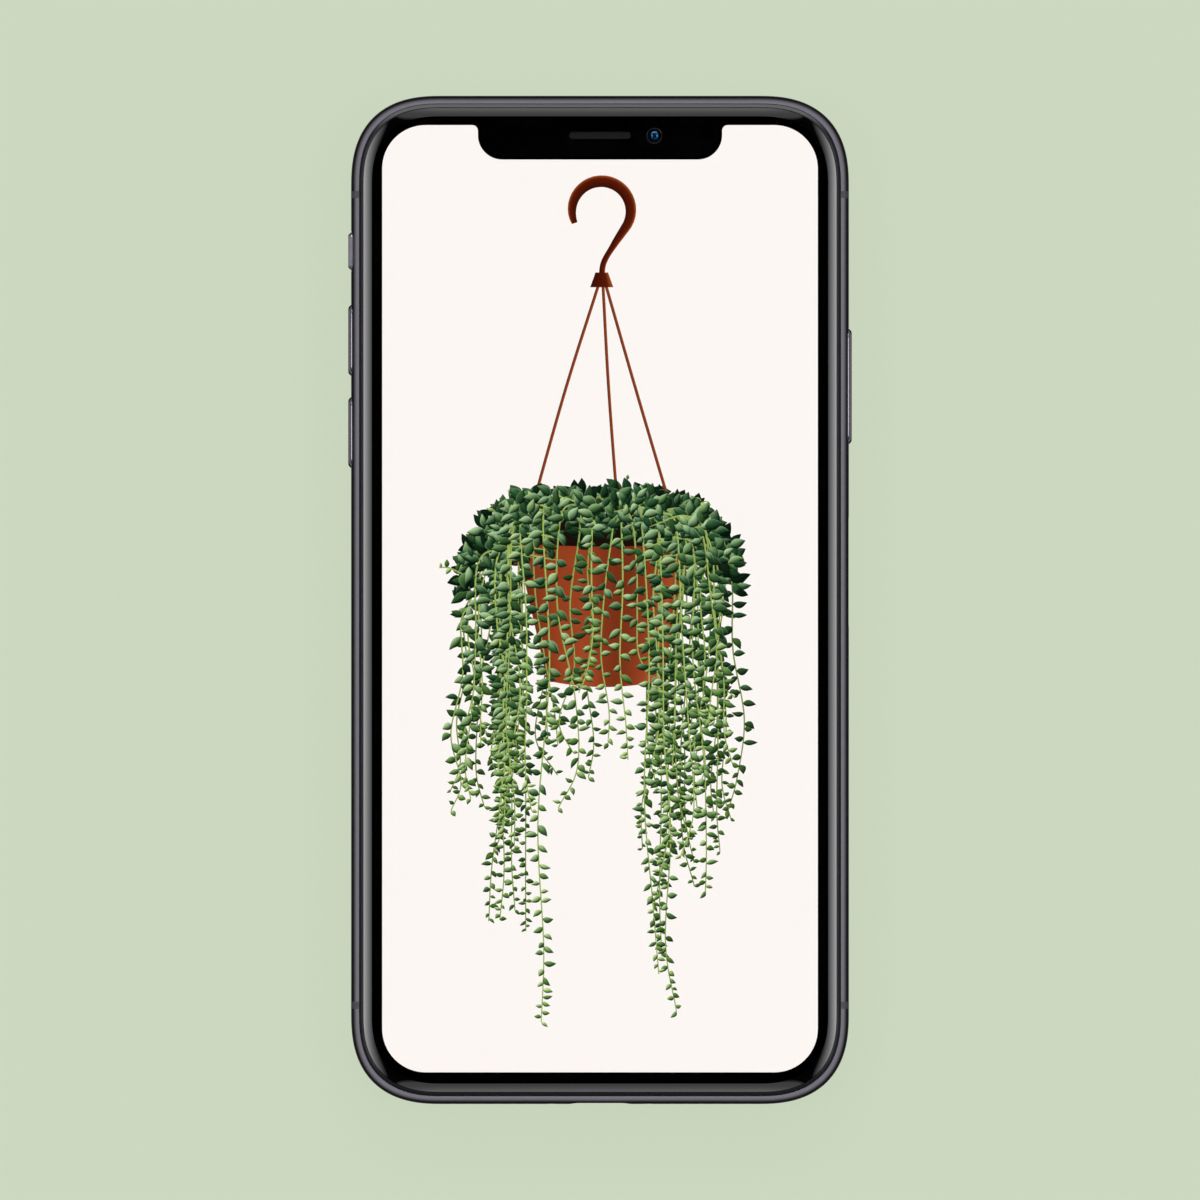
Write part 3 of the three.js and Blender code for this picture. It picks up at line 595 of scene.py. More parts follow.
def flash_phosphor(node):
    """The yellow phosphor of a lamp under a moulded lens with rings, painted in pale and deeper bands as
    painted light and shade of the lens.
    """
    tree, shader, place = started("flash_phosphor", Roughness=0.25, Subsurface_Weight=0.1)
    # Such rings are about 0.25 mm apart, and are drawn at 1.57 mm so that they show
    rings = ringed(tree, place, node, 1.5708)
    # The lens's rings are painted pale and deeper yellow in turn, as painted light and shade; the yellow is
    # the phosphor's own
    shaded(tree, shader, rings, linear("#E8DDA8"), linear("#C9A94E"))
    bumped(tree, shader, rings, 0.03, 0.6)


def woven_steel(name, pitch, light, dark):
    """Woven steel wire, blackened: a tight grid of small openings, with painted shade in each of them."""
    tree, shader, place = started(name, Metallic=0.6, Roughness=0.45, Specular_IOR_Level=0.3)
    sockets = {"Vector": place, "Scale": wave_scale(pitch)}
    waves = [
        add(tree, "ShaderNodeTexWave", sockets, bands_direction=direction).outputs["Fac"]
        for direction in "XYZ"
    ]
    cross = add(tree, "ShaderNodeMath", {0: waves[0], 1: waves[1]}, operation="MULTIPLY")
    weave = add(tree, "ShaderNodeMath", {0: cross.outputs[0], 1: waves[2]}, operation="MAXIMUM").outputs[0]
    # The wires take the lighter colour, and the openings between them are painted near black as painted
    # shade
    shaded(tree, shader, weave, dark, light)
    bumped(tree, shader, weave, 0.03, 0.7)


def stamped_steel(name, color, roughness=0.35):
    """Cold-rolled stainless steel: faint rolling lines along the sheet."""
    tree, shader, place = started(name, Metallic=1.0, Base_Color=color)
    stretch = add(tree, "ShaderNodeMapping", {"Vector": place, "Scale": (1, 0.03, 1)}).outputs["Vector"]
    roughened(tree, shader, stretch, 0.2, roughness - 0.08, roughness + 0.08)
    bumped(tree, shader, varied(tree, stretch, 0.1), 0.001, 0.5)


def solder_masked_board():
    """Glass-epoxy board under green solder mask, with lighter lines where tracks run below it."""
    tree, shader, place = started("solder_masked_board", Roughness=0.4, Coat_Weight=0.4)
    tracks = add(
        tree, "ShaderNodeTexBrick",
        {"Vector": place, "Scale": per_metre(4.0), "Mortar Size": 0.06, "Color1": BLACK, "Color2": BLACK,
         "Mortar": WHITE},
    ).outputs["Color"]
    shaded(tree, shader, tracks, linear("#153A26"), linear("#2C5A3C"))
    bumped(tree, shader, tracks, 0.02, 0.4)


def pouch_film():
    """Aluminium-laminate film round a cell, printed black: soft and slightly creased."""
    tree, shader, place = started("pouch_film", Roughness=0.45)
    shaded(tree, shader, varied(tree, place, 3.0, detail=5.0), linear("#17181B"), linear("#232428"))
    bumped(tree, shader, varied(tree, place, 6.0, detail=6.0), 0.08, 0.4)


def wound_copper(node):
    """Enamelled copper wire wound flat: orange rings, drawn at about six turns of the wire each, painted
    dark in the grooves and light on the crests as painted shade and painted highlight.
    """
    tree, shader, place = started("wound_copper", Metallic=1.0, Roughness=0.3)
    turns = ringed(tree, place, node, 2.8274)
    # Painted shade in the grooves between turns and a painted highlight on their crests, where the same
    # pattern raises the surface
    shaded(tree, shader, turns, linear("#6E3418"), linear("#C9764A"))
    bumped(tree, shader, turns, 0.1, 0.8)


def polyimide_flex():
    """A flexible circuit: amber film over groups of copper tracks that run along it."""
    tree, shader, place = started("polyimide_flex", Roughness=0.35, Coat_Weight=0.3)
    tracks = add(tree, "ShaderNodeTexWave", {"Vector": place, "Scale": wave_scale(3.1416)}).outputs["Fac"]
    shaded(tree, shader, tracks, linear("#8A4A1C"), linear("#B5703A"))


def gold_plating():
    """Hard gold over nickel on the contacts: warm and smooth."""
    tree, shader, place = started("gold_plating", Metallic=1.0, Base_Color=linear("#E0B25C"))
    roughened(tree, shader, place, 0.3, 0.16, 0.26)


# What the screen shows, in millimetres

LAYER = 3.5e-5  # between one painted shape and the next
BATCH = 2000
SUN = Vector((-0.38, 0.62, 0.69))
BODY_LIGHT = 0.4  # the light in which a leaf shows its body's colour
LEAF_DEEP = linear("#04100A")
LEAF_RIM = linear("#BDD8A4")
YOUNG_SHADE = linear("#5F8C35")
YOUNG_LIGHT = linear("#D2E59A")
STEM = linear("#B4CE6C")
# The mound's half width, and its clumps of stems as (middle, stems, reach below the middle)
MOUND = 19.5
CLUMPS = (
    (-17.6, 4, 40), (-13.4, 6, 56), (-9.6, 5, 62), (-5.0, 2, 36), (-0.6, 2, 44), (4.2, 3, 34), (8.6, 6, 60),
    (12.6, 5, 52), (17.0, 5, 40),
)
COLLAR = 45.2  # height of the collar in which the wires meet


def mound_top(x):
    """The height of the mound's slightly uneven outline."""
    return 15.2 - 9.5 * abs(x / MOUND) ** 4 + 0.6 * math.sin(0.75 * x) * math.sin(0.31 * x + 1)


def clamp(value):
    """A value kept between 0 and 1."""
    return min(1.0, max(0.0, value))


def curve_through(points, steps):
    """A smooth path through listed points, with steps between each two: a Catmull-Rom spline."""
    line = [Vector(point) for point in points]
    line = [2 * line[0] - line[1]] + line + [2 * line[-1] - line[-2]]
    path = []
    for a, b, c, d in zip(line, line[1:], line[2:], line[3:]):
        for i in range(steps):
            t = i / steps
            bend = (2 * a - 5 * b + 4 * c - d) * t**2 + (3 * b - a - 3 * c + d) * t**3
            path.append(0.5 * (2 * b + (c - a) * t + bend))
    return path + [line[-2]]


class Painting:
    """Flat shapes stacked in hair-thin layers under the glass. Each point has its own colour."""

    def __init__(self, level, draw):
        self.batches = []
        self.level = level
        self.draw = draw
        self.begin()

    def begin(self):
        """Starts a new batch. Operators slow down as a mesh grows, so the painting is made in batches."""
        self.bm = bmesh.new()
        self.paint = self.bm.verts.layers.float_color.new(PAINT)
        self.batches.append(self.bm)

    def patch(self, along, across, place, tint):
        """Adds a sheet. place and tint turn (u, v), each from -1 to 1, into a point and a colour."""
        if len(self.bm.verts) > BATCH:
            self.begin()
        self.level += LAYER
        made = bmesh.ops.create_grid(self.bm, x_segments=along, y_segments=across, size=1.0)
        for vert in made["verts"]:
            u, v = vert.co.x, vert.co.y
            vert[self.paint] = tint(u, v)
            vert.co = (*place(u, v), self.level)

    def ribbon(self, path, half_width, tint, across=1):
        """Adds a stroke along a path, with its half width and colour given along its length, from 0 to 1."""
        last = len(path) - 1

        def place(u, v):
            i = round((u + 1) / 2 * last)
            ahead = path[min(i + 1, last)] - path[max(i - 1, 0)]
            side = Vector((-ahead.y, ahead.x)).normalized()
            return path[i] + side * v * half_width(i / last)

        self.patch(last, across, place, lambda u, v: tint((u + 1) / 2, v))

    def leaf(self, base, angle, length, width, tone, youth):
        """Adds a plump pointed leaf. tone is its light and youth how yellow it is, both from 0 to 1."""
        screen = bpy.context.scene.phone_screen
        ahead = Vector((math.cos(angle), math.sin(angle)))
        side = Vector((-ahead.y, ahead.x))
        lit_side = side.dot(SUN.xy)
        bow = self.draw.uniform(-0.25, 0.25) * width
        body = mixed(tuple(screen.leaf_dark), YOUNG_SHADE, youth)
        light = mixed(tuple(screen.leaf_light), YOUNG_LIGHT, youth)

        def place(u, v):
            s = (u + 1) / 2
            half = width / 2 * max(0.04, math.sin(math.pi * s**0.8)) ** 0.9
            off = math.copysign(abs(v) ** 0.6, v) * half + bow * s * (1 - s) * 4
            return base + ahead * s * length + side * off

        def tint(u, v):
            slope, lean = 1.2 * v, 0.6 * u
            flat = side * math.sin(slope) * math.cos(lean) + ahead * math.sin(lean)
            lit = max(0.0, flat.dot(SUN.xy) + math.cos(slope) * math.cos(lean) * SUN.z)
            level = (0.05 + 1.1 * tone) * lit**1.6
            if level < BODY_LIGHT:
                color = mixed(LEAF_DEEP, body, level / BODY_LIGHT)
            else:
                color = mixed(body, light, (level - BODY_LIGHT) / (1 - BODY_LIGHT))
            if abs(v) < 0.9:
                return color
            if v * lit_side > 0:
                return mixed(color, LEAF_RIM, 0.55 * tone)
            return mixed(color, LEAF_DEEP, 0.35)

        self.patch(5, 4, place, tint)

    def strand(self, path, size, tone, youth=0.0):
        """Adds a trailing stem with leaves to both sides, smaller and younger towards its tip."""
        draw = self.draw
        stem = mixed(STEM, LEAF_DEEP, 0.5 * (1 - tone))
        shadow = mixed(stem, LEAF_DEEP, 0.4)

        def half_width(s):
            return (0.14 - 0.06 * s) * min(1, 0.2 + 12 * s)

        self.ribbon(path, half_width, lambda s, v: stem if v > 0 else shadow)
        total = len(path) - 1
        travelled, reach, hand = 0.0, draw.uniform(0.3, 1.0), 1
        for i in range(1, total + 1):
            step = path[i] - path[i - 1]
            travelled += step.length
            if travelled < reach:
                continue
            travelled = 0.0
            s = i / total
            if draw.random() < 0.85:
                hand = -hand
            scale = size * (1 - 0.5 * s**2.2) * draw.uniform(0.85, 1.15)
            reach = scale * draw.uniform(0.3, 0.72)
            angle = math.atan2(step.y, step.x) + math.radians(draw.uniform(30, 105)) * hand
            light = max(0.3 * s, tone + 0.15 * s + draw.uniform(-0.45, 0.35))
            length = scale * draw.uniform(0.7, 1.12)
            width = scale * draw.uniform(0.42, 0.6)
            yellow = youth + 0.9 * s**2.5 + draw.uniform(-0.2, 0.3)
            self.leaf(path[i], angle, length, width, clamp(light), clamp(yellow))

    def finished(self, name):
        """Turns the painting into a piece behind the glass."""
        placed(name, joined(*self.batches), "lit_picture")


# The stage

# Lengths in metres. The camera is so far off that the phone's sides hardly show
CAMERA_DISTANCE = 4.0
CAMERA_SEES = 0.17092
CAMERA_DROP = 0.00001
FLOOR_HALF = 4.0
FLOOR_DROP = 0.00002
# The share of the floor's colour that reflects light. The rest of it shines, so it has almost no shadow
FLOOR_SHARE = 0.06
FLOOR_LIT = 1.3  # how bright the studio makes that share, against the ground's own colour
FLOOR_UNEVEN = 0.99

# Stops of light as (place, level). The sky's places are degrees above the horizon
HORIZON = (
    (-90, 0.16), (-72, 0.1), (-60, 0), (-44, 0.03), (-38, 0.09), (-27, 0.44), (-17, 0.78), (-7, 0.95),
    (3, 1.0), (10, 0.85), (18, 0.12), (40, 0.03), (65, 0),
)
OVERHEAD = ((42, 0), (44, 1))
# Boxes in a ceiling as (lean, strength, stops). Each is a triangle with one corner towards the middle
BOXES = (
    ((1, -0.5, 0), 8.8, ((0.18, 0), (0.96, 0.98), (1.1, 1))),
    ((-1.5, 1, 0), 2.5, ((0.15, 0), (0.25, 0.45), (0.41, 0.47), (0.62, 0.66), (0.84, 0.98), (1.1, 1))),
)
# The strip past the notch's end is so low that only the bezel mirrors it
STRIP_HEIGHT = ((26, 0), (28, 1), (42, 1), (44, 0))
STRIP_AHEAD = ((0.5, 0), (0.72, 1))
STRIP_STRENGTH = 8.0


def profiled(tree, value, low, high, stops):
    """A level that follows a value between two limits. stops are (value, level), with levels up to 1."""
    limits = {"From Min": low, "From Max": high}
    share = add(tree, "ShaderNodeMapRange", {"Value": value, **limits}).outputs["Result"]
    ramp = add(tree, "ShaderNodeValToRGB", {"Fac": share})
    points = ramp.color_ramp.elements
    while len(points) < len(stops):
        points.new(1.0)
    for i, (place, level) in enumerate(stops):
        points[i].position = (place - low) / (high - low)
        points[i].color = (level, level, level, 1)
    return ramp.outputs["Color"]


class PHONE_OT_stage(bpy.types.Operator):
    """Add the pale floor, the studio light and the camera above the screen"""

    bl_idname = "phone.stage"
    bl_label = "Stage"

    def execute(self, context):
        ground = tuple(context.scene.phone_finish.ground)
        self.camera()
        self.light(ground)
        self.floor(ground)
        context.scene.view_settings.view_transform = "Standard"
        return {"FINISHED"}

    def camera(self):
        """Looks straight down the screen's axis, from far away."""
        data = bpy.data.cameras.new("camera")
        data.lens = data.sensor_width * CAMERA_DISTANCE / CAMERA_SEES
        camera = bpy.data.objects.new("camera", data)
        camera.location = (0, -CAMERA_DROP, CAMERA_DISTANCE + BODY_MIDDLE.z * MM)
        bpy.context.scene.collection.objects.link(camera)
        bpy.context.scene.camera = camera

    def light(self, ground):
        """A soft ring round the horizon, boxes over the sides and the ends, and a low strip."""
        world = bpy.data.worlds.new("studio")
        world.use_nodes = True
        bpy.context.scene.world = world
        tree = world.node_tree
        tree.nodes.clear()

        def raised_where(total, strength, first, second):
            """The light so far, with more of it where two masks meet."""
            both = add(tree, "ShaderNodeMath", {0: first, 1: second}, operation="MULTIPLY").outputs[0]
            terms = {0: both, 1: strength, 2: total}
            return add(tree, "ShaderNodeMath", terms, operation="MULTIPLY_ADD").outputs[0]

        way = add(tree, "ShaderNodeTexCoord").outputs["Generated"]
        parts = add(tree, "ShaderNodeSeparateXYZ", {0: way}).outputs
        rise = add(tree, "ShaderNodeMath", {0: parts["Z"]}, operation="ARCSINE").outputs[0]
        degrees = {0: rise, 1: 180 / math.pi}
        elevation = add(tree, "ShaderNodeMath", degrees, operation="MULTIPLY").outputs[0]
        total, overhead, height = (
            profiled(tree, elevation, -90, 90, stops) for stops in (HORIZON, OVERHEAD, STRIP_HEIGHT)
        )
        # Where a line of sight meets a ceiling one unit up, without its sign
        spread = add(tree, "ShaderNodeMath", {0: 1.0, 1: parts["Z"]}, operation="DIVIDE").outputs[0]
        size = add(tree, "ShaderNodeVectorMath", {0: way}, operation="ABSOLUTE").outputs[0]
        meeting = {0: size, "Scale": spread}
        ceiling = add(tree, "ShaderNodeVectorMath", meeting, operation="SCALE").outputs[0]
        for lean, strength, stops in BOXES:
            along = {0: ceiling, 1: lean}
            reach = add(tree, "ShaderNodeVectorMath", along, operation="DOT_PRODUCT").outputs["Value"]
            total = raised_where(total, strength, profiled(tree, reach, 0, 2, stops), overhead)
        ahead = profiled(tree, parts["Y"], -1, 1, STRIP_AHEAD)
        total = raised_where(total, STRIP_STRENGTH, height, ahead)
        studio = add(tree, "ShaderNodeBackground", {"Color": linear("#FFFDFF"), "Strength": total})
        seen = add(tree, "ShaderNodeBackground", {"Color": ground})
        direct = add(tree, "ShaderNodeLightPath").outputs["Is Camera Ray"]
        both = add(tree, "ShaderNodeMixShader", {0: direct, 1: studio.outputs[0], 2: seen.outputs[0]})
        add(tree, "ShaderNodeOutputWorld", {"Surface": both.outputs[0]})

    def floor(self, ground):
        """A wide, pale, almost shadowless floor, which the phone's edges don't mirror."""
        tree, shader, place = started(
            "pale_floor", Roughness=1.0, Specular_IOR_Level=0.0, Emission_Color=ground,
            Emission_Strength=1 - FLOOR_SHARE * FLOOR_LIT,
        )
        light, dark = (mixed(BLACK, ground, share) for share in (FLOOR_SHARE, FLOOR_SHARE * FLOOR_UNEVEN))
        shaded(tree, shader, varied(tree, place, 60.0), light, dark)
        # Seen from below it lets all light through
        under = add(tree, "ShaderNodeBsdfTransparent").outputs[0]
        behind = add(tree, "ShaderNodeNewGeometry").outputs["Backfacing"]
        both = add(tree, "ShaderNodeMixShader", {0: behind, 1: shader.outputs[0], 2: under})
        tree.links.new(both.outputs[0], tree.nodes["Material Output"].inputs["Surface"])
        bm = bmesh.new()
        bmesh.ops.create_grid(bm, x_segments=8, y_segments=8, size=FLOOR_HALF)
        bmesh.ops.translate(bm, vec=(0, 0, -FLOOR_DROP), verts=bm.verts)
        mesh = bpy.data.meshes.new("floor")
        bm.to_mesh(mesh)
        bm.free()
        mesh.materials.append(bpy.data.materials["pale_floor"])
        floor = bpy.data.objects.new("floor", mesh)
        floor.visible_glossy = False
        bpy.context.scene.collection.objects.link(floor)


# The pieces


def key_slot(node, side):
    """The tool that cuts a key's slot."""
    middle, size = span(node)
    grow = 2 * (KEY_PLAY - FLANGE_RIM)
    levels = straight(*THROUGH, size.y + grow, size.z + grow, size.z)
    return from_side(side, middle.y, middle.z, levels)


class PHONE_OT_band(bpy.types.Operator):
    """Add the metal band round the body and the plastic breaks in it"""

    bl_idname = "phone.band"
    bl_label = "Band"

    def execute(self, context):
        shell = Shell()
        front = shell.middle + shell.rise(BAND_FRONT_EDGE)
        back_ledge, front_ledge, lip = 1.85, 7.0, 0.04
        section = shell.side_curve(BAND_FRONT_EDGE, BAND_BACK_EDGE, 56)
        section += [
            (BAND_BACK_EDGE + GAP, back_ledge), (WALL, back_ledge), (WALL, front_ledge),
            (BAND_FRONT_EDGE + GAP, front_ledge), (BAND_FRONT_EDGE + GAP, front - lip),
        ]
        ring = shell.wrapped(section, closed=True)
        middle, size = span("antenna_break_upper_right")
        near, far = middle.y - size.y / 2, middle.y + size.y / 2
        line = 0.005  # between the metal and the plastic
        sides = sliced(ring, (near - line, UP), (near - line, DOWN))
        stretches = {
            "band_top": sliced(ring, (-far - line, DOWN)),
            "band_left": self.left_cut(sliced(sides, (0, RIGHT))),
            "band_right": self.right_cut(sliced(sides, (0, LEFT))),
            "band_bottom": self.bottom_cut(sliced(ring, (-far - line, UP))),
        }
        for name, stretch in stretches.items():
            placed(name, stretch, "coated_steel")
        for level, low, high in (("upper", near, far), ("lower", -far, -near)):
            for side, away in (("right", LEFT), ("left", RIGHT)):
                plug = sliced(ring, (high, UP), (-low, DOWN), (0, away))
                placed(f"antenna_break_{level}_{side}", plug, "insert_moulded_nylon")
        sides.free()
        ring.free()
        return {"FINISHED"}

    def left_cut(self, band):
        """Cuts the volume keys' slots, and the mute lever's window with the slot for its stem."""
        y, z = span("mute_lever")[0].y, BODY_MIDDLE.z
        window = from_side(-1, y, z, straight(-1, 0.9, 5.7, 3.4, 1.05))
        stem_slot = from_side(-1, y, z, straight(0.5, WALL + 1, 1.5, 2.4, 0.5))
        tools = joined(key_slot("volume_up_key", -1), key_slot("volume_down_key", -1), window)
        return carved(carved(band, tools), stem_slot)

    def right_cut(self, band):
        """Cuts the side key's slot, the tray's slot and the small hole that pushes the tray out."""
        middle, size = span("card_tray")
        play, hole_radius, hole_off = 0.12, 0.45, 1.6
        slot = straight(*THROUGH, size.y + play, size.z + play, size.z)
        hole_y = middle.y - size.y / 2 - hole_off
        tools = [
            key_slot("side_key", 1),
            from_side(1, middle.y, middle.z, slot),
            from_side(1, hole_y, middle.z, rod(*THROUGH, hole_radius)),
        ]
        return carved(band, joined(*tools))

    def bottom_cut(self, band):
        """Cuts the port, the two rows of sound holes and the screws' holes."""
        z = BODY_MIDDLE.z
        first, step, count, hole_radius = 10.2, 2.15, 6, 0.62
        screw, screw_radius = span("end_screw_left")[0].x, 0.85
        tools = [from_end(0, z, straight(*THROUGH, 8.9, 3.1, 1.55))]
        for sign in (-1, 1):
            for i in range(count):
                x = sign * (first + i * step)
                tools.append(from_end(x, z, rod(*THROUGH, hole_radius), steps=6))
            tools.append(from_end(sign * screw, z, rod(*THROUGH, screw_radius), steps=6))
        return carved(band, joined(*tools))


class PHONE_OT_keys(bpy.types.Operator):
    """Add the volume keys and the side key, each with a cut edge and the flange that keeps it in"""

    bl_idname = "phone.keys"
    bl_label = "Keys"

    def execute(self, context):
        half = Shell().half_width
        chamfer = context.scene.phone_body.key_chamfer / MM
        softness, flange_out, flange_in = 0.17, WALL + 0.2, WALL + 0.7
        for name, side in (("volume_up_key", -1), ("volume_down_key", -1), ("side_key", 1)):
            middle, size = span(name)
            out = half - abs(middle.x) - size.x / 2
            length, height = size.y - 2 * FLANGE_RIM, size.z - 2 * FLANGE_RIM
            key = from_side(side, middle.y, middle.z, [
                (out, length - 2 * chamfer, height - 2 * chamfer, height),
                *straight(out + chamfer, flange_out, length, height, height),
                *straight(flange_out, flange_in, size.y, size.z, size.z),
            ])
            soften(key, softness, 6, lying("x", side * (half - out), side * (half - out - chamfer)))
            placed(name, key, "key_steel", sharp=35)
        return {"FINISHED"}


class PHONE_OT_mute_lever(bpy.types.Operator):
    """Add the mute lever, which slides in its window"""

    bl_idname = "phone.mute_lever"
    bl_label = "Mute lever"

    def execute(self, context):
        half = Shell().half_width
        middle, size = span("mute_lever")
        out = half - abs(middle.x) - size.x / 2
        chamfer, softness, under = 0.4, 0.06, 0.8
        lever = from_side(-1, middle.y, middle.z, [
            (out, size.y - 2 * chamfer, size.z - 2 * chamfer, size.z),
            *straight(out + chamfer, under, size.y, size.z, size.z),
            *straight(under, WALL + 0.35, 1.3, 0.9, 0.45),
        ])
        soften(lever, softness, 6, lying("x", out - half, out + chamfer - half))
        placed("mute_lever", lever, "coated_steel", sharp=35)
        return {"FINISHED"}


class PHONE_OT_card_tray(bpy.types.Operator):
    """Add the card tray, flush in the right side"""

    bl_idname = "phone.card_tray"
    bl_label = "Card tray"

    def execute(self, context):
        middle, size = span("card_tray")
        outer, cover, thick, narrower = 0.04, 1.1, 1.0, 0.8
        levels = straight(outer, cover, size.y, size.z, size.z)
        levels += straight(cover, outer + size.x, size.y - narrower, thick, 0.3)
        tray = from_side(1, middle.y, middle.z, levels)
        soften(tray, 0.08, 3, lying("x", Shell().half_width - outer))
        card_width, card_length, card_deep, ledge = 8.9, 12.4, 0.7, 2.0
        x, y = middle.x - size.x / 2 + 5.65, middle.y
        top = middle.z + thick / 2
        pocket = upright(rounded(card_width, card_length, 0.8, x, y), top - card_deep, top + 1)
        window = upright(rounded(card_width - ledge, card_length - ledge, 1.0, x, y), top - 2, top - 0.5)
        placed("card_tray", carved(carved(tray, pocket), window), "coated_steel")
        return {"FINISHED"}


class PHONE_OT_lower_end(bpy.types.Operator):
    """Add the port with its contacts, the two screws and the meshes behind the sound holes"""

    bl_idname = "phone.lower_end"
    bl_label = "Lower end"

    def execute(self, context):
        half = Shell().half_length
        self.port(half, BODY_MIDDLE.z)
        self.screws(BODY_MIDDLE.z)
        for name in ("loudspeaker_mesh", "microphone_mesh"):
            middle, size = span(name)
            depth = middle.y + half
            levels = straight(depth - size.y / 2, depth + size.y / 2, size.x, size.z, 0.3)
            placed(name, from_end(middle.x, middle.z, levels), "woven_steel")
        return {"FINISHED"}

    def port(self, half, z):
        """The port's shell with a flared mouth, and its tongue with contacts on both faces."""
        mouth, flare, sheet = WALL + GAP, 0.15, 0.4
        end = mouth + 6.9
        shell = from_end(0, z, [
            *straight(end, mouth + flare, 8.6, 2.8, 1.35),
            (mouth, 8.9, 3.1, 1.5),
            *straight(mouth, end + sheet, 9.4, 3.6, 1.55),
        ])
        placed("port_shell", shell, "port_steel")
        middle, size = span("port_tongue")
        tip, root = middle.y - size.y / 2 + half, middle.y + size.y / 2 + half
        levels = [(tip, size.x - 0.3, 0.4, 0.2), *straight(tip + 0.3, root, size.x, 0.7, 0.3)]
        placed("port_tongue", from_end(0, z, levels), "moulded_polymer")
        count, pitch = 12, 0.5
        pad, off = straight(tip + 0.6, root - 0.3, 0.26, 0.04, 0.01), size.z / 2 + 0.021
        pads = [
            from_end((i - (count - 1) / 2) * pitch, z + sign * off, pad, steps=1)
            for i in range(count)
            for sign in (-1, 1)
        ]
        placed("port_contacts", joined(*pads), "gold_plating")

    def screws(self, z):
        """The end screws, each with a socket in its chamfered head."""
        face, shoulder, under, bottom = 0.35, 0.5, 1.2, 0.8
        for name in ("end_screw_left", "end_screw_right"):
            x = span(name)[0].x
            levels = [(face, 1.3, 1.3, 0.65), *rod(shoulder, under, 0.8), *rod(under, WALL + 1.6, 0.55)]
            socket = from_end(x, z, rod(-0.2, bottom, 0.38), steps=1)
            placed(name, carved(from_end(x, z, levels), socket), "key_steel")


def screen_outline(grow, z):
    """Points round the lit area with its notch, let out by a distance."""
    shell = Shell()
    side, top_inset, bottom_inset, corner = 4.45 - grow, 4.22 - grow, 4.57 - grow, 6.2 + grow
    notch, depth, radius, fillet = 34.75 / 2 - grow, 4.91, 3.46 - grow, 0.8 + grow
    x = shell.half_width - side
    top, bottom = shell.half_length - top_inset, bottom_inset - shell.half_length
    floor = top - depth
    points = arc(x - corner, bottom + corner, corner, -90, 0, 16)
    points += arc(x - corner, top - corner, corner, 0, 90, 16)
    points += arc(notch + fillet, top - fillet, fillet, 90, 180, 6)
    points += arc(notch - radius, floor + radius, radius, 0, -90, 12)
    points += arc(radius - notch, floor + radius, radius, -90, -180, 12)
    points += arc(-notch - fillet, top - fillet, fillet, 0, 90, 6)
    points += arc(corner - x, top - corner, corner, 90, 180, 16)
    points += arc(corner - x, bottom + corner, corner, 180, 270, 16)
    return raised(points, z)


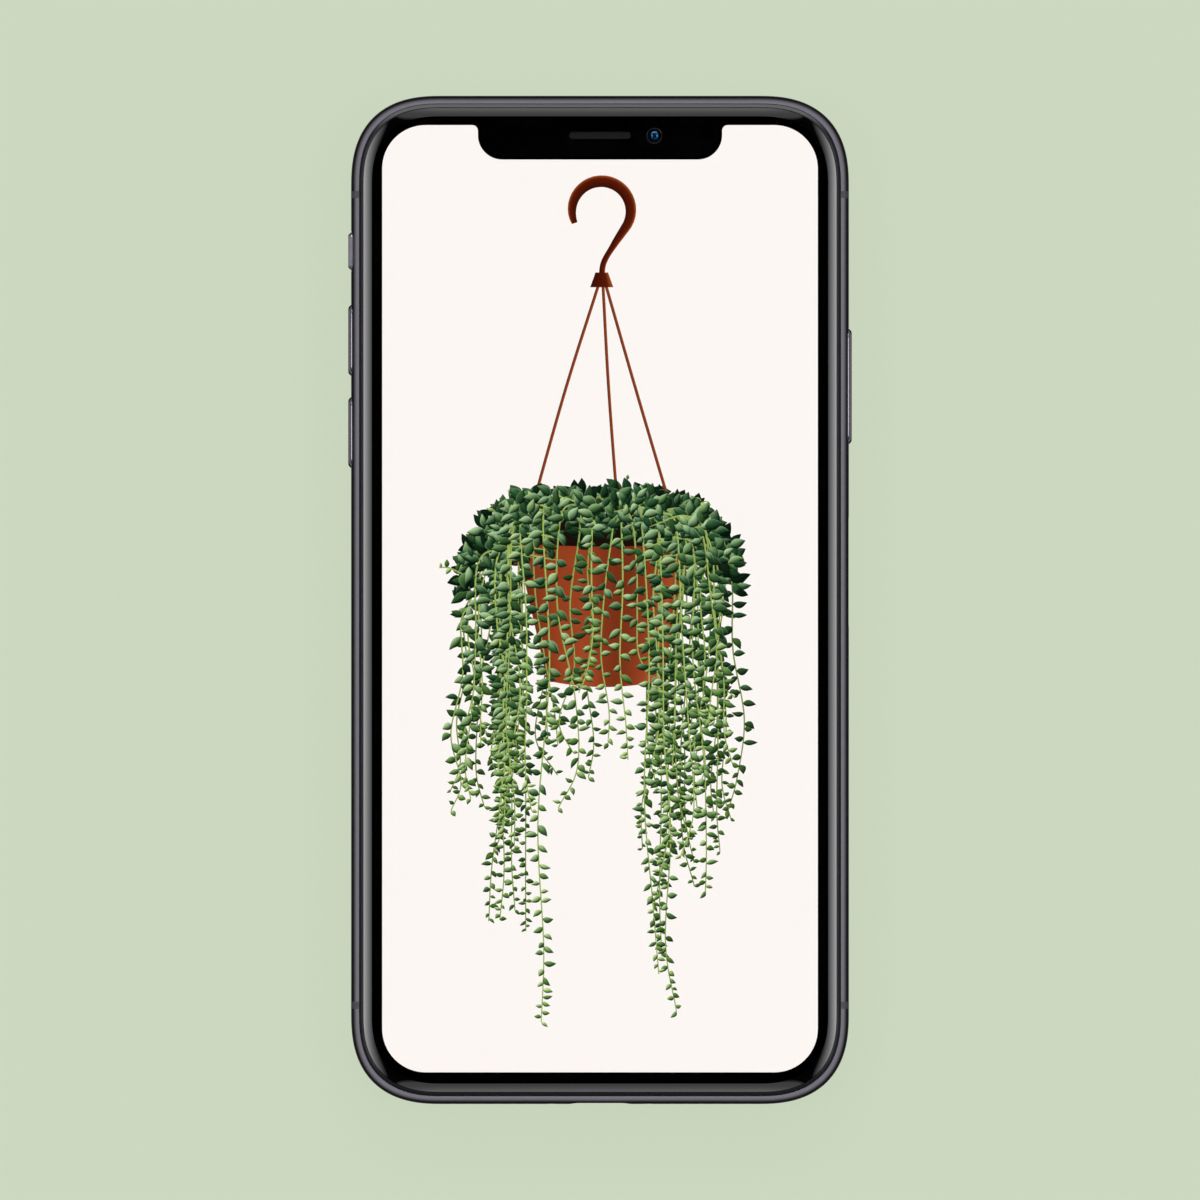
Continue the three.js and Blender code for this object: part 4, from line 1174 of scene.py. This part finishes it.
class PHONE_OT_front(bpy.types.Operator):
    """Add the front glass with its rounded rim, the bezel, the printed mask and the earpiece"""

    bl_idname = "phone.front"
    bl_label = "Front"

    def execute(self, context):
        shell = Shell()
        ear, ear_size = span("earpiece_mesh")
        play = 0.08
        opening = rounded(ear_size.x + play, ear_size.y + play, ear_size.y, ear.x, ear.y)
        rim = self.rim(shell)
        self.glass(shell, rim, opening)
        self.bezel(shell, rim[0][1] - 0.03)
        self.mask(shell, opening)
        self.earpiece()
        return {"FINISHED"}

    def rim(self, shell):
        """The glass's rounded rim, an arc that leaves a slight crease where the flat face begins."""
        steep, shallow, steps = math.radians(22.5), math.radians(8), 14
        radius = (GLASS_FLAT - GLASS_EDGE) / (math.sin(steep) - math.sin(shallow))
        rim = []
        for i in range(steps + 1):
            turn = steep + (shallow - steep) * i / steps
            inset = GLASS_EDGE + radius * (math.sin(steep) - math.sin(turn))
            rim.append((inset, shell.front - radius * (math.cos(shallow) - math.cos(turn))))
        return rim

    def glass(self, shell, rim, opening):
        """The front glass, clear where it is flat and inked behind its rim."""
        glass = shell.wrapped([(GLASS_EDGE + GAP, GLASS_UNDER), (GLASS_EDGE, GLASS_UNDER + GAP)] + rim)
        glass = carved(glass, upright(opening, GLASS_UNDER - 1, shell.front + 1))
        glass.normal_update()
        flat = 0.9999
        for face in glass.faces:
            face.material_index = 0 if abs(face.normal.z) > flat else 1
        front = placed("front_glass", glass, "toughened_glass", sharp=5)
        front.data.materials.append(bpy.data.materials["inked_glass"])

    def bezel(self, shell, by_glass):
        """The slightly crowned strip between the glass and the band."""
        outer, inner, floor = BAND_FRONT_EDGE + 2 * GAP - 0.02, 2.6, 7.05
        by_band = shell.middle + shell.rise(outer) - 0.06
        steps, swell = 6, 0.01
        section = [(inner, floor), (inner, GLASS_UNDER - GAP), (BEZEL_EDGE, GLASS_UNDER - GAP)]
        for i in range(steps + 1):
            share = i / steps
            inset = BEZEL_EDGE + (outer - BEZEL_EDGE) * share
            rise = (by_band - by_glass) * share
            section.append((inset, by_glass + rise + swell * math.sin(math.pi * share)))
        section.append((outer, floor))
        placed("display_bezel", shell.wrapped(section, closed=True), "bezel_polymer")

    def mask(self, shell, opening):
        """The print behind the glass, with openings for the screen, the earpiece and the front camera."""
        camera, size = span("front_camera_lens")
        low, outer, thick = GLASS_UNDER - 0.009, 1.85, 0.006
        lens_hole = arc(camera.x, camera.y, size.x / 2, 0, 351, 39)
        bm = bmesh.new()
        edges = []
        for points in (
            shell.outline(outer, low), screen_outline(0, low), raised(opening, low), raised(lens_hole, low),
        ):
            edges += loop_through(bm, points)
        filled = bmesh.ops.triangle_fill(bm, edges=edges, use_beauty=True)
        faces = [item for item in filled["geom"] if isinstance(item, bmesh.types.BMFace)]
        bmesh.ops.solidify(bm, geom=faces, thickness=thick)
        placed("display_mask", bm, "screen_ink")

    def earpiece(self):
        """The woven cover of the earpiece, with a narrow cut edge."""
        middle, size = span("earpiece_mesh")
        low, high = heights("earpiece_mesh")
        cut = 0.06
        mesh = skinned([
            raised(rounded(size.x - less, size.y - less, size.y, middle.x, middle.y), z)
            for z, less in ((low, 0), (high - cut, 0), (high, 2 * cut))
        ])
        placed("earpiece_mesh", mesh, "earpiece_weave")


class PHONE_OT_screen(bpy.types.Operator):
    """Add the lit panel and the picture on it: a pot of trailing stems hung from a hook"""

    bl_idname = "phone.screen"
    bl_label = "Screen"

    def execute(self, context):
        settings = context.scene.phone_screen
        under_print = 0.4
        panel = skinned([
            screen_outline(-GAP, PANEL_UNDER), screen_outline(under_print, PANEL_UNDER),
            screen_outline(under_print, PANEL_TOP),
        ])
        placed("display_panel", panel, "lit_backdrop")
        draw = random.Random(settings.seed)
        rear = Painting(PANEL_TOP + 0.001, draw)
        self.trail(rear, 0.7 * settings.fullness, 2.0, 0.15)
        self.crown(rear, 330, 0.0, 8.5)
        rear.finished("picture_rear_stems")
        pot = Painting(rear.level, draw)
        self.pot(pot, tuple(settings.pot))
        self.hook(pot)
        pot.finished("picture_pot")
        front = Painting(pot.level, draw)
        self.crown(front, 280, 0.15, 7.5)
        self.shoots(front, 9)
        self.trail(front, 0.45 * settings.fullness, 2.2, 0.45)
        self.crown(front, 150, 0.45, 6.0)
        self.trail(front, 0.55 * settings.fullness, 2.25, 0.7)
        self.crown(front, 60, 0.6, 5.0)
        front.finished("picture_front_stems")
        return {"FINISHED"}

    def trail(self, painting, share, size, tone):
        """Stems that arch over the rim and hang down in clumps, with few as long as the longest."""
        draw = painting.draw
        for middle, count, longest in CLUMPS:
            for _ in range(max(1, round(count * share))):
                x = middle + draw.gauss(0, 1.5)
                y = mound_top(x) - draw.uniform(1.0, 6.0)
                length = (longest + y) * (0.4 + 0.6 * draw.random() ** 1.3)
                sway = draw.uniform(-2.2, 2.2)
                root = x * draw.uniform(0.3, 0.75) + draw.uniform(-1.5, 1.5)
                start = min(mound_top(root) - 1.5, y + draw.uniform(-1.0, 3.0))
                arch = ((root + 2 * x) / 3, max(start, y) + draw.uniform(0.2, 1.0))
                points = [(root, start), arch, (x, y - 2.0)]
                for part, drift in ((0.3, 0.8), (0.6, 1.2), (0.85, 1.2), (1.0, 2.2)):
                    points.append((x + sway * part + draw.uniform(-drift, drift), y - 2.0 - part * length))
                path = curve_through(points, max(4, round(length / 2.6)))
                painting.strand(path, draw.uniform(0.88, 1.1) * size, clamp(tone + draw.uniform(-0.2, 0.2)))

    def shoots(self, painting, count):
        """Short young stems that stand out of the mound."""
        draw = painting.draw
        for _ in range(count):
            x = MOUND * draw.uniform(-1, 1)
            angle = math.atan2(14, x) + draw.uniform(-0.5, 0.5)
            reach = draw.uniform(2.4, 4.2)
            base = Vector((x, mound_top(x) - 1.5))
            ahead = Vector((math.cos(angle), math.sin(angle))) * reach
            path = curve_through([base, base + 0.6 * ahead, base + ahead + Vector((0, -0.15 * reach))], 5)
            painting.strand(path, 1.5, 0.6, 0.6)

    def crown(self, painting, count, tone, lower):
        """Leaves of the mound over the rim, the later the lighter."""
        draw = painting.draw
        for i in range(count):
            x = MOUND * draw.uniform(-1, 1)
            y = mound_top(x) - draw.random() ** 1.1 * lower * (1 - 0.4 * abs(x) / MOUND)
            length = draw.uniform(1.6, 2.6)
            outwards = math.atan2(y - 4, x) + draw.uniform(-1.5, 1.5)
            light = tone + 0.25 * i / count + draw.uniform(-0.5, 0.4)
            width = length * draw.uniform(0.48, 0.68)
            yellow = draw.uniform(-0.3, 0.35)
            painting.leaf(Vector((x, y)), outwards, length, width, clamp(light), clamp(yellow))

    def pot(self, painting, color):
        """A tapered pot with a rolled rim, lit from the front left."""
        shadow = mixed(color, linear("#3A0F05"), 0.7)
        gleam = mixed(color, linear("#E0A078"), 0.45)
        hollow = linear("#1A0F08")
        middle = 0.6
        # Shade from the pot's left edge to its right: 0 is shadow, 1 the pot's colour and 2 the gleam
        shades = (0.25, 0.75, 1.0, 1.05, 1.15, 1.0, 0.55, 0.35, 0.4, 0.65, 1.0, 1.45, 0.6)

        def tint(u, v):
            place = (u + 1) / 2 * (len(shades) - 1)
            i = min(int(place), len(shades) - 2)
            level = shades[i] + (shades[i + 1] - shades[i]) * (place - i)
            level *= 0.85 - 0.15 * v
            return mixed(shadow, color, level) if level < 1 else mixed(color, gleam, level - 1)

        def inside(u, v):
            return Vector((middle + 11.8 * u, 9.4 + 2.4 * v))

        def body(u, v):
            half = 10.2 + 2.1 * v
            drop = 0.9 * (1 - u * u) * (1 - v) / 2
            return Vector((middle + half * u, -2.3 + 9.2 * v - drop))

        def rim(u, v):
            return Vector((middle + 12.9 * u, 6.6 + 1.5 * v - 0.5 * (1 - u * u)))

        painting.patch(12, 1, inside, lambda u, v: hollow)
        painting.patch(36, 6, body, tint)
        painting.patch(36, 2, rim, lambda u, v: tint(u, v * 0.5 + 0.5))

    def hook(self, painting):
        """Three wires from the rim up to a collar, and a plain open hook above it."""
        brown, deep, edge = linear("#5E1C08"), linear("#3A0D04"), linear("#A04A20")
        wire_light, wire_dark = linear("#9A4A28"), linear("#5E2410")
        for x, y, bow in ((-9.8, 12.6, 2.6), (2.6, 11.8, -0.5), (10.4, 12.0, -2.4)):
            path = curve_through([(0.3 + x * 0.04, COLLAR), (x * 0.42 - bow * 0.3, 30), (x, y)], 14)
            painting.ribbon(path, lambda s: 0.22, lambda s, v: wire_light if v > 0 else wire_dark)
        turn = arc(0.2, 55.4, 4.2, 205, -38, 26)
        path = [Vector(point) for point in turn]
        path += curve_through([turn[-1], (1.9, 50.4), (0.5, 47.9), (0.2, COLLAR)], 6)[1:]

        def shade(s, v):
            if abs(v) > 0.9:
                return edge if v > 0 else deep
            return mixed(brown, deep, 0.5 - 0.5 * v)

        def half_width(s):
            return 0.42 + 0.42 * math.sin(math.pi * min(1, s * 1.3) ** 0.8)

        painting.ribbon(path, half_width, shade, across=4)
        collar = [Vector((0.25, COLLAR + above)) for above in (1.4, 0.7, 0, -0.7)]
        painting.ribbon(collar, lambda s: 0.9 + 0.75 * s, shade, across=4)


class PHONE_OT_front_camera(bpy.types.Operator):
    """Add the front camera behind the glass"""

    bl_idname = "phone.front_camera"
    bl_label = "Front camera"

    def execute(self, context):
        middle = span("front_camera")[0]
        low, high = heights("front_camera")
        lens, lens_size = span("front_camera_lens")
        barrel, mouth, step, bore = 1.9, lens_size.x / 2, 0.8, 0.6
        profile = [
            (0, low), (barrel, low), (barrel, high), (mouth + 0.1, high), (mouth - 0.05, high - 0.12),
            (step, high - 0.2), (bore, high - 0.5), (0, high - 0.5),
        ]
        placed("front_camera", turned(profile, middle.x, middle.y), "moulded_polymer")
        # A round lens seated in the barrel's mouth
        top, seat, pupil, bend, steps = heights("front_camera_lens")[1], 0.95, 0.68, 1.2, 12
        lean = math.asin(pupil / bend)
        base = top - bend * (1 - math.cos(lean))
        profile = [(0, base - 0.12), (seat, base - 0.12), (seat, base - 0.003)]
        for i in range(steps + 1):
            turn = lean * (1 - i / steps)
            profile.append((bend * math.sin(turn), top - bend * (1 - math.cos(turn))))
        placed("front_camera_lens", turned(profile, lens.x, lens.y), "front_lens")
        return {"FINISHED"}


class PHONE_OT_back(bpy.types.Operator):
    """Add the back glass and the raised island for the cameras"""

    bl_idname = "phone.back"
    bl_label = "Back"

    def execute(self, context):
        shell = Shell()
        middle, size = span("camera_island")
        place = (middle.x, middle.y, 20)
        hole = rounded(size.x + 2 * GAP, size.y + 2 * GAP, size.x, *place)
        self.glass(shell, hole)
        low, high = heights("camera_island")
        island = upright(rounded(size.x, size.y, size.x, *place), low, high)
        soften(island, 0.25, 5, lying("z", low))
        island = carved(island, joined(*self.holes(high + 1)))
        placed("camera_island", island, "island_glass", sharp=25)
        return {"FINISHED"}

    def glass(self, shell, hole):
        """The back glass, whose rounded rim carries on from the band, with a hole for the island."""
        edge, inner = BAND_BACK_EDGE + GAP, BAND_BACK_EDGE + 2 * GAP
        rim = [
            (inset, z) for inset, z in shell.side_curve(BAND_FRONT_EDGE, shell.edge - 0.001, 60)
            if inset > edge and z < shell.middle
        ]
        start = [(inner, shell.back + 0.8), (edge, shell.middle - shell.rise(edge))]
        plate = carved(shell.wrapped(start + rim), upright(hole, shell.back - 1, shell.back + 2))
        placed("back_glass", plate, "back_glass", sharp=12)

    def holes(self, top):
        """The tools that cut the island for its rings, its flash window and the microphone's hole."""
        below = -1
        tools = []
        for kind in PUPILS:
            ring, size = span(f"{kind}_lens_ring")
            radius, seat = size.x / 2 + GAP, heights(f"{kind}_lens_ring")[1] + GAP
            profile = [
                (0, below), (radius, below), (radius, seat), (LENS_BORE, seat), (LENS_BORE, top), (0, top),
            ]
            tools.append(turned(profile, ring.x, ring.y))
        flash, size = span("flash_window")
        for x, radius, steps in ((flash.x, size.x / 2 + GAP, 64), (flash.x + 3.6, 0.4, 24)):
            profile = [(0, below), (radius, below), (radius, top), (0, top)]
            tools.append(turned(profile, x, flash.y, steps=steps))
        return tools


class PHONE_OT_rear_cameras(bpy.types.Operator):
    """Add the lens rings, their cover glasses, the lenses behind them and the flash"""

    bl_idname = "phone.rear_cameras"
    bl_label = "Rear cameras"

    def execute(self, context):
        for kind, pupil in PUPILS.items():
            self.ring(f"{kind}_lens_ring", f"{kind}_turned_steel")
            placed(f"{kind}_lens_glass", pane(f"{kind}_lens_glass", 0.06), "sapphire_cover")
            self.optics(kind, pupil)
        placed("flash_window", pane("flash_window", 0.1), "flash_phosphor")
        return {"FINISHED"}

    def ring(self, name, finish):
        """A lens ring with rounded lips and the ledge that its cover glass sits on."""
        middle, size = span(name)
        outer, ledge, under, top = size.x / 2, 3.2, 0.85, heights(name)[1]
        profile = [
            (LENS_BORE, 0.25), (LENS_BORE + 0.12, 0.06), (LENS_BORE + 0.25, 0), (outer - 0.3, 0),
            (outer - 0.08, 0.07), (outer, 0.28), (outer, top), (ledge, top), (ledge, under),
            (LENS_BORE, under),
        ]
        placed(name, turned(profile, middle.x, middle.y, closed=True), finish)

    def optics(self, kind, pupil):
        """The camera's barrel with stepped baffles, on its body, and the front lens in it."""
        name = f"{kind}_camera"
        middle, size = span(name)
        low, high = heights(name)
        shoulder, wall, widest, deep, steps = low + 1.5, 3.1, 2.9, 0.8, 4
        profile = [(0, shoulder - 0.1), (pupil, shoulder - 0.1), (pupil, low + deep)]
        for i in range(steps):
            radius = pupil + (widest - pupil) * (i + 1) / steps
            depth = low + deep * (1 - (i + 1) / steps)
            profile += [(radius, profile[-1][1]), (radius, depth)]
        profile += [(wall, low), (wall, shoulder + 0.3), (0, shoulder + 0.3)]
        block = upright(rounded(size.x, size.y, 0.8, middle.x, middle.y), shoulder - 0.05, high)
        whole = carved(block, turned(profile, middle.x, middle.y), "UNION")
        placed(name, whole, "moulded_polymer")
        base, radius, edge, bulge, steps = shoulder - 0.12, pupil - 0.02, 0.1, 0.5, 12
        profile = [(0, base), (radius, base)]
        for i in range(steps + 1):
            turn = math.pi / 2 * i / steps
            profile.append((radius * math.cos(turn), base - edge - bulge * math.sin(turn)))
        placed(f"{kind}_front_lens", turned(profile, middle.x, middle.y), "rear_lens")


INNER_FINISHES = {
    "stamped_steel": (
        "back_plate", "display_carrier", "sensor_bracket", "haptic_motor", "card_reader", "lower_shield",
        "upper_shield",
    ),
    "moulded_polymer": (
        "earpiece_speaker", "infrared_camera", "dot_projector", "mute_switch", "loudspeaker", "microphone",
        "flash_lamp",
    ),
    "polyimide_flex": ("port_cable", "battery_cable", "display_cable", "volume_switches", "side_switch"),
    "wound_copper": ("charging_coil",),
    "pouch_film": ("battery",),
    "solder_masked_board": ("logic_board",),
}


class PHONE_OT_inner_parts(bpy.types.Operator):
    """Finish the parts inside the phone, which keep the shapes of the frame"""

    bl_idname = "phone.inner_parts"
    bl_label = "Inner parts"

    def execute(self, context):
        for finish, nodes in INNER_FINISHES.items():
            for node in nodes:
                materials = frame["nodes"][node].data.materials
                materials.clear()
                materials.append(bpy.data.materials[finish])
        return {"FINISHED"}


class PHONE_OT_finishes(bpy.types.Operator):
    """Make the materials of the pieces"""

    bl_idname = "phone.finishes"
    bl_label = "Finishes"

    def execute(self, context):
        colors = context.scene.phone_finish
        coated_steel("coated_steel", tuple(colors.band))
        coated_steel("key_steel", tuple(colors.keys), 0.18)
        moulded_plastic("insert_moulded_nylon", tuple(colors.breaks), 0.4)
        moulded_plastic("bezel_polymer", linear("#171719"), 0.2, specular=0.2)
        moulded_plastic("moulded_polymer", linear("#141417"), 0.5)
        clear_glass("toughened_glass", GLASS_IOR)
        inked_glass()
        clear_glass("sapphire_cover", 1.6, linear("#F4F6FF"))
        # The frame has a material of this name too, so the back still shows the frame's plain glass
        dark_glass("back_glass", tuple(colors.back), 0.05)
        dark_glass("island_glass", linear("#101013"), 0.12)
        screen_ink()
        lit_backdrop(tuple(context.scene.phone_screen.backdrop))
        lit_picture()
        coated_lens("front_lens", linear("#010A20"), 310.0)
        coated_lens("rear_lens", linear("#0A0A1E"), 420.0)
        # A real weave is too fine to show, so its wires are drawn about 1 mm apart. The second colour is
        # painted shade in the openings
        woven_steel("woven_steel", 1.131, linear("#2A2A2C"), linear("#050505"))
        woven_steel("earpiece_weave", 1.0053, linear("#0D0D0D"), linear("#040404"))
        stamped_steel("port_steel", linear("#8A8A8E"), 0.25)
        stamped_steel("stamped_steel", linear("#A8A8AA"))
        gold_plating()
        for kind in PUPILS:
            turned_steel(f"{kind}_turned_steel", f"{kind}_lens_ring")
        flash_phosphor("flash_window")
        polyimide_flex()
        wound_copper("charging_coil")
        pouch_film()
        solder_masked_board()
        return {"FINISHED"}


class PHONE_PT_panel(bpy.types.Panel):
    """Lists the phone's settings and the steps that make it"""

    bl_idname = "PHONE_PT_panel"
    bl_label = "Notched Smartphone"
    bl_space_type = "VIEW_3D"
    bl_region_type = "UI"
    bl_category = "Phone"

    def draw(self, context):
        for group, kind in GROUPS.items():
            box = self.layout.box()
            for name in kind.__annotations__:
                box.prop(getattr(context.scene, group), name)
        for step in STEPS:
            self.layout.operator(step.bl_idname)


STEPS = (
    PHONE_OT_stage,
    PHONE_OT_finishes,
    PHONE_OT_band,
    PHONE_OT_keys,
    PHONE_OT_mute_lever,
    PHONE_OT_card_tray,
    PHONE_OT_lower_end,
    PHONE_OT_front,
    PHONE_OT_screen,
    PHONE_OT_front_camera,
    PHONE_OT_back,
    PHONE_OT_rear_cameras,
    PHONE_OT_inner_parts,
)
GROUPS = {"phone_body": PhoneBody, "phone_screen": PhoneScreen, "phone_finish": PhoneFinish}


def register():
    for kind in (*GROUPS.values(), *STEPS, PHONE_PT_panel):
        bpy.utils.register_class(kind)
    for name, group in GROUPS.items():
        setattr(bpy.types.Scene, name, PointerProperty(type=group))


def unregister():
    for name in GROUPS:
        delattr(bpy.types.Scene, name)
    for kind in (PHONE_PT_panel, *reversed(STEPS), *reversed(GROUPS.values())):
        bpy.utils.unregister_class(kind)


def main():
    register()
    for step in STEPS:
        family, name = step.bl_idname.split(".")
        getattr(getattr(bpy.ops, family), name)()


if __name__ == "__main__":
    main()
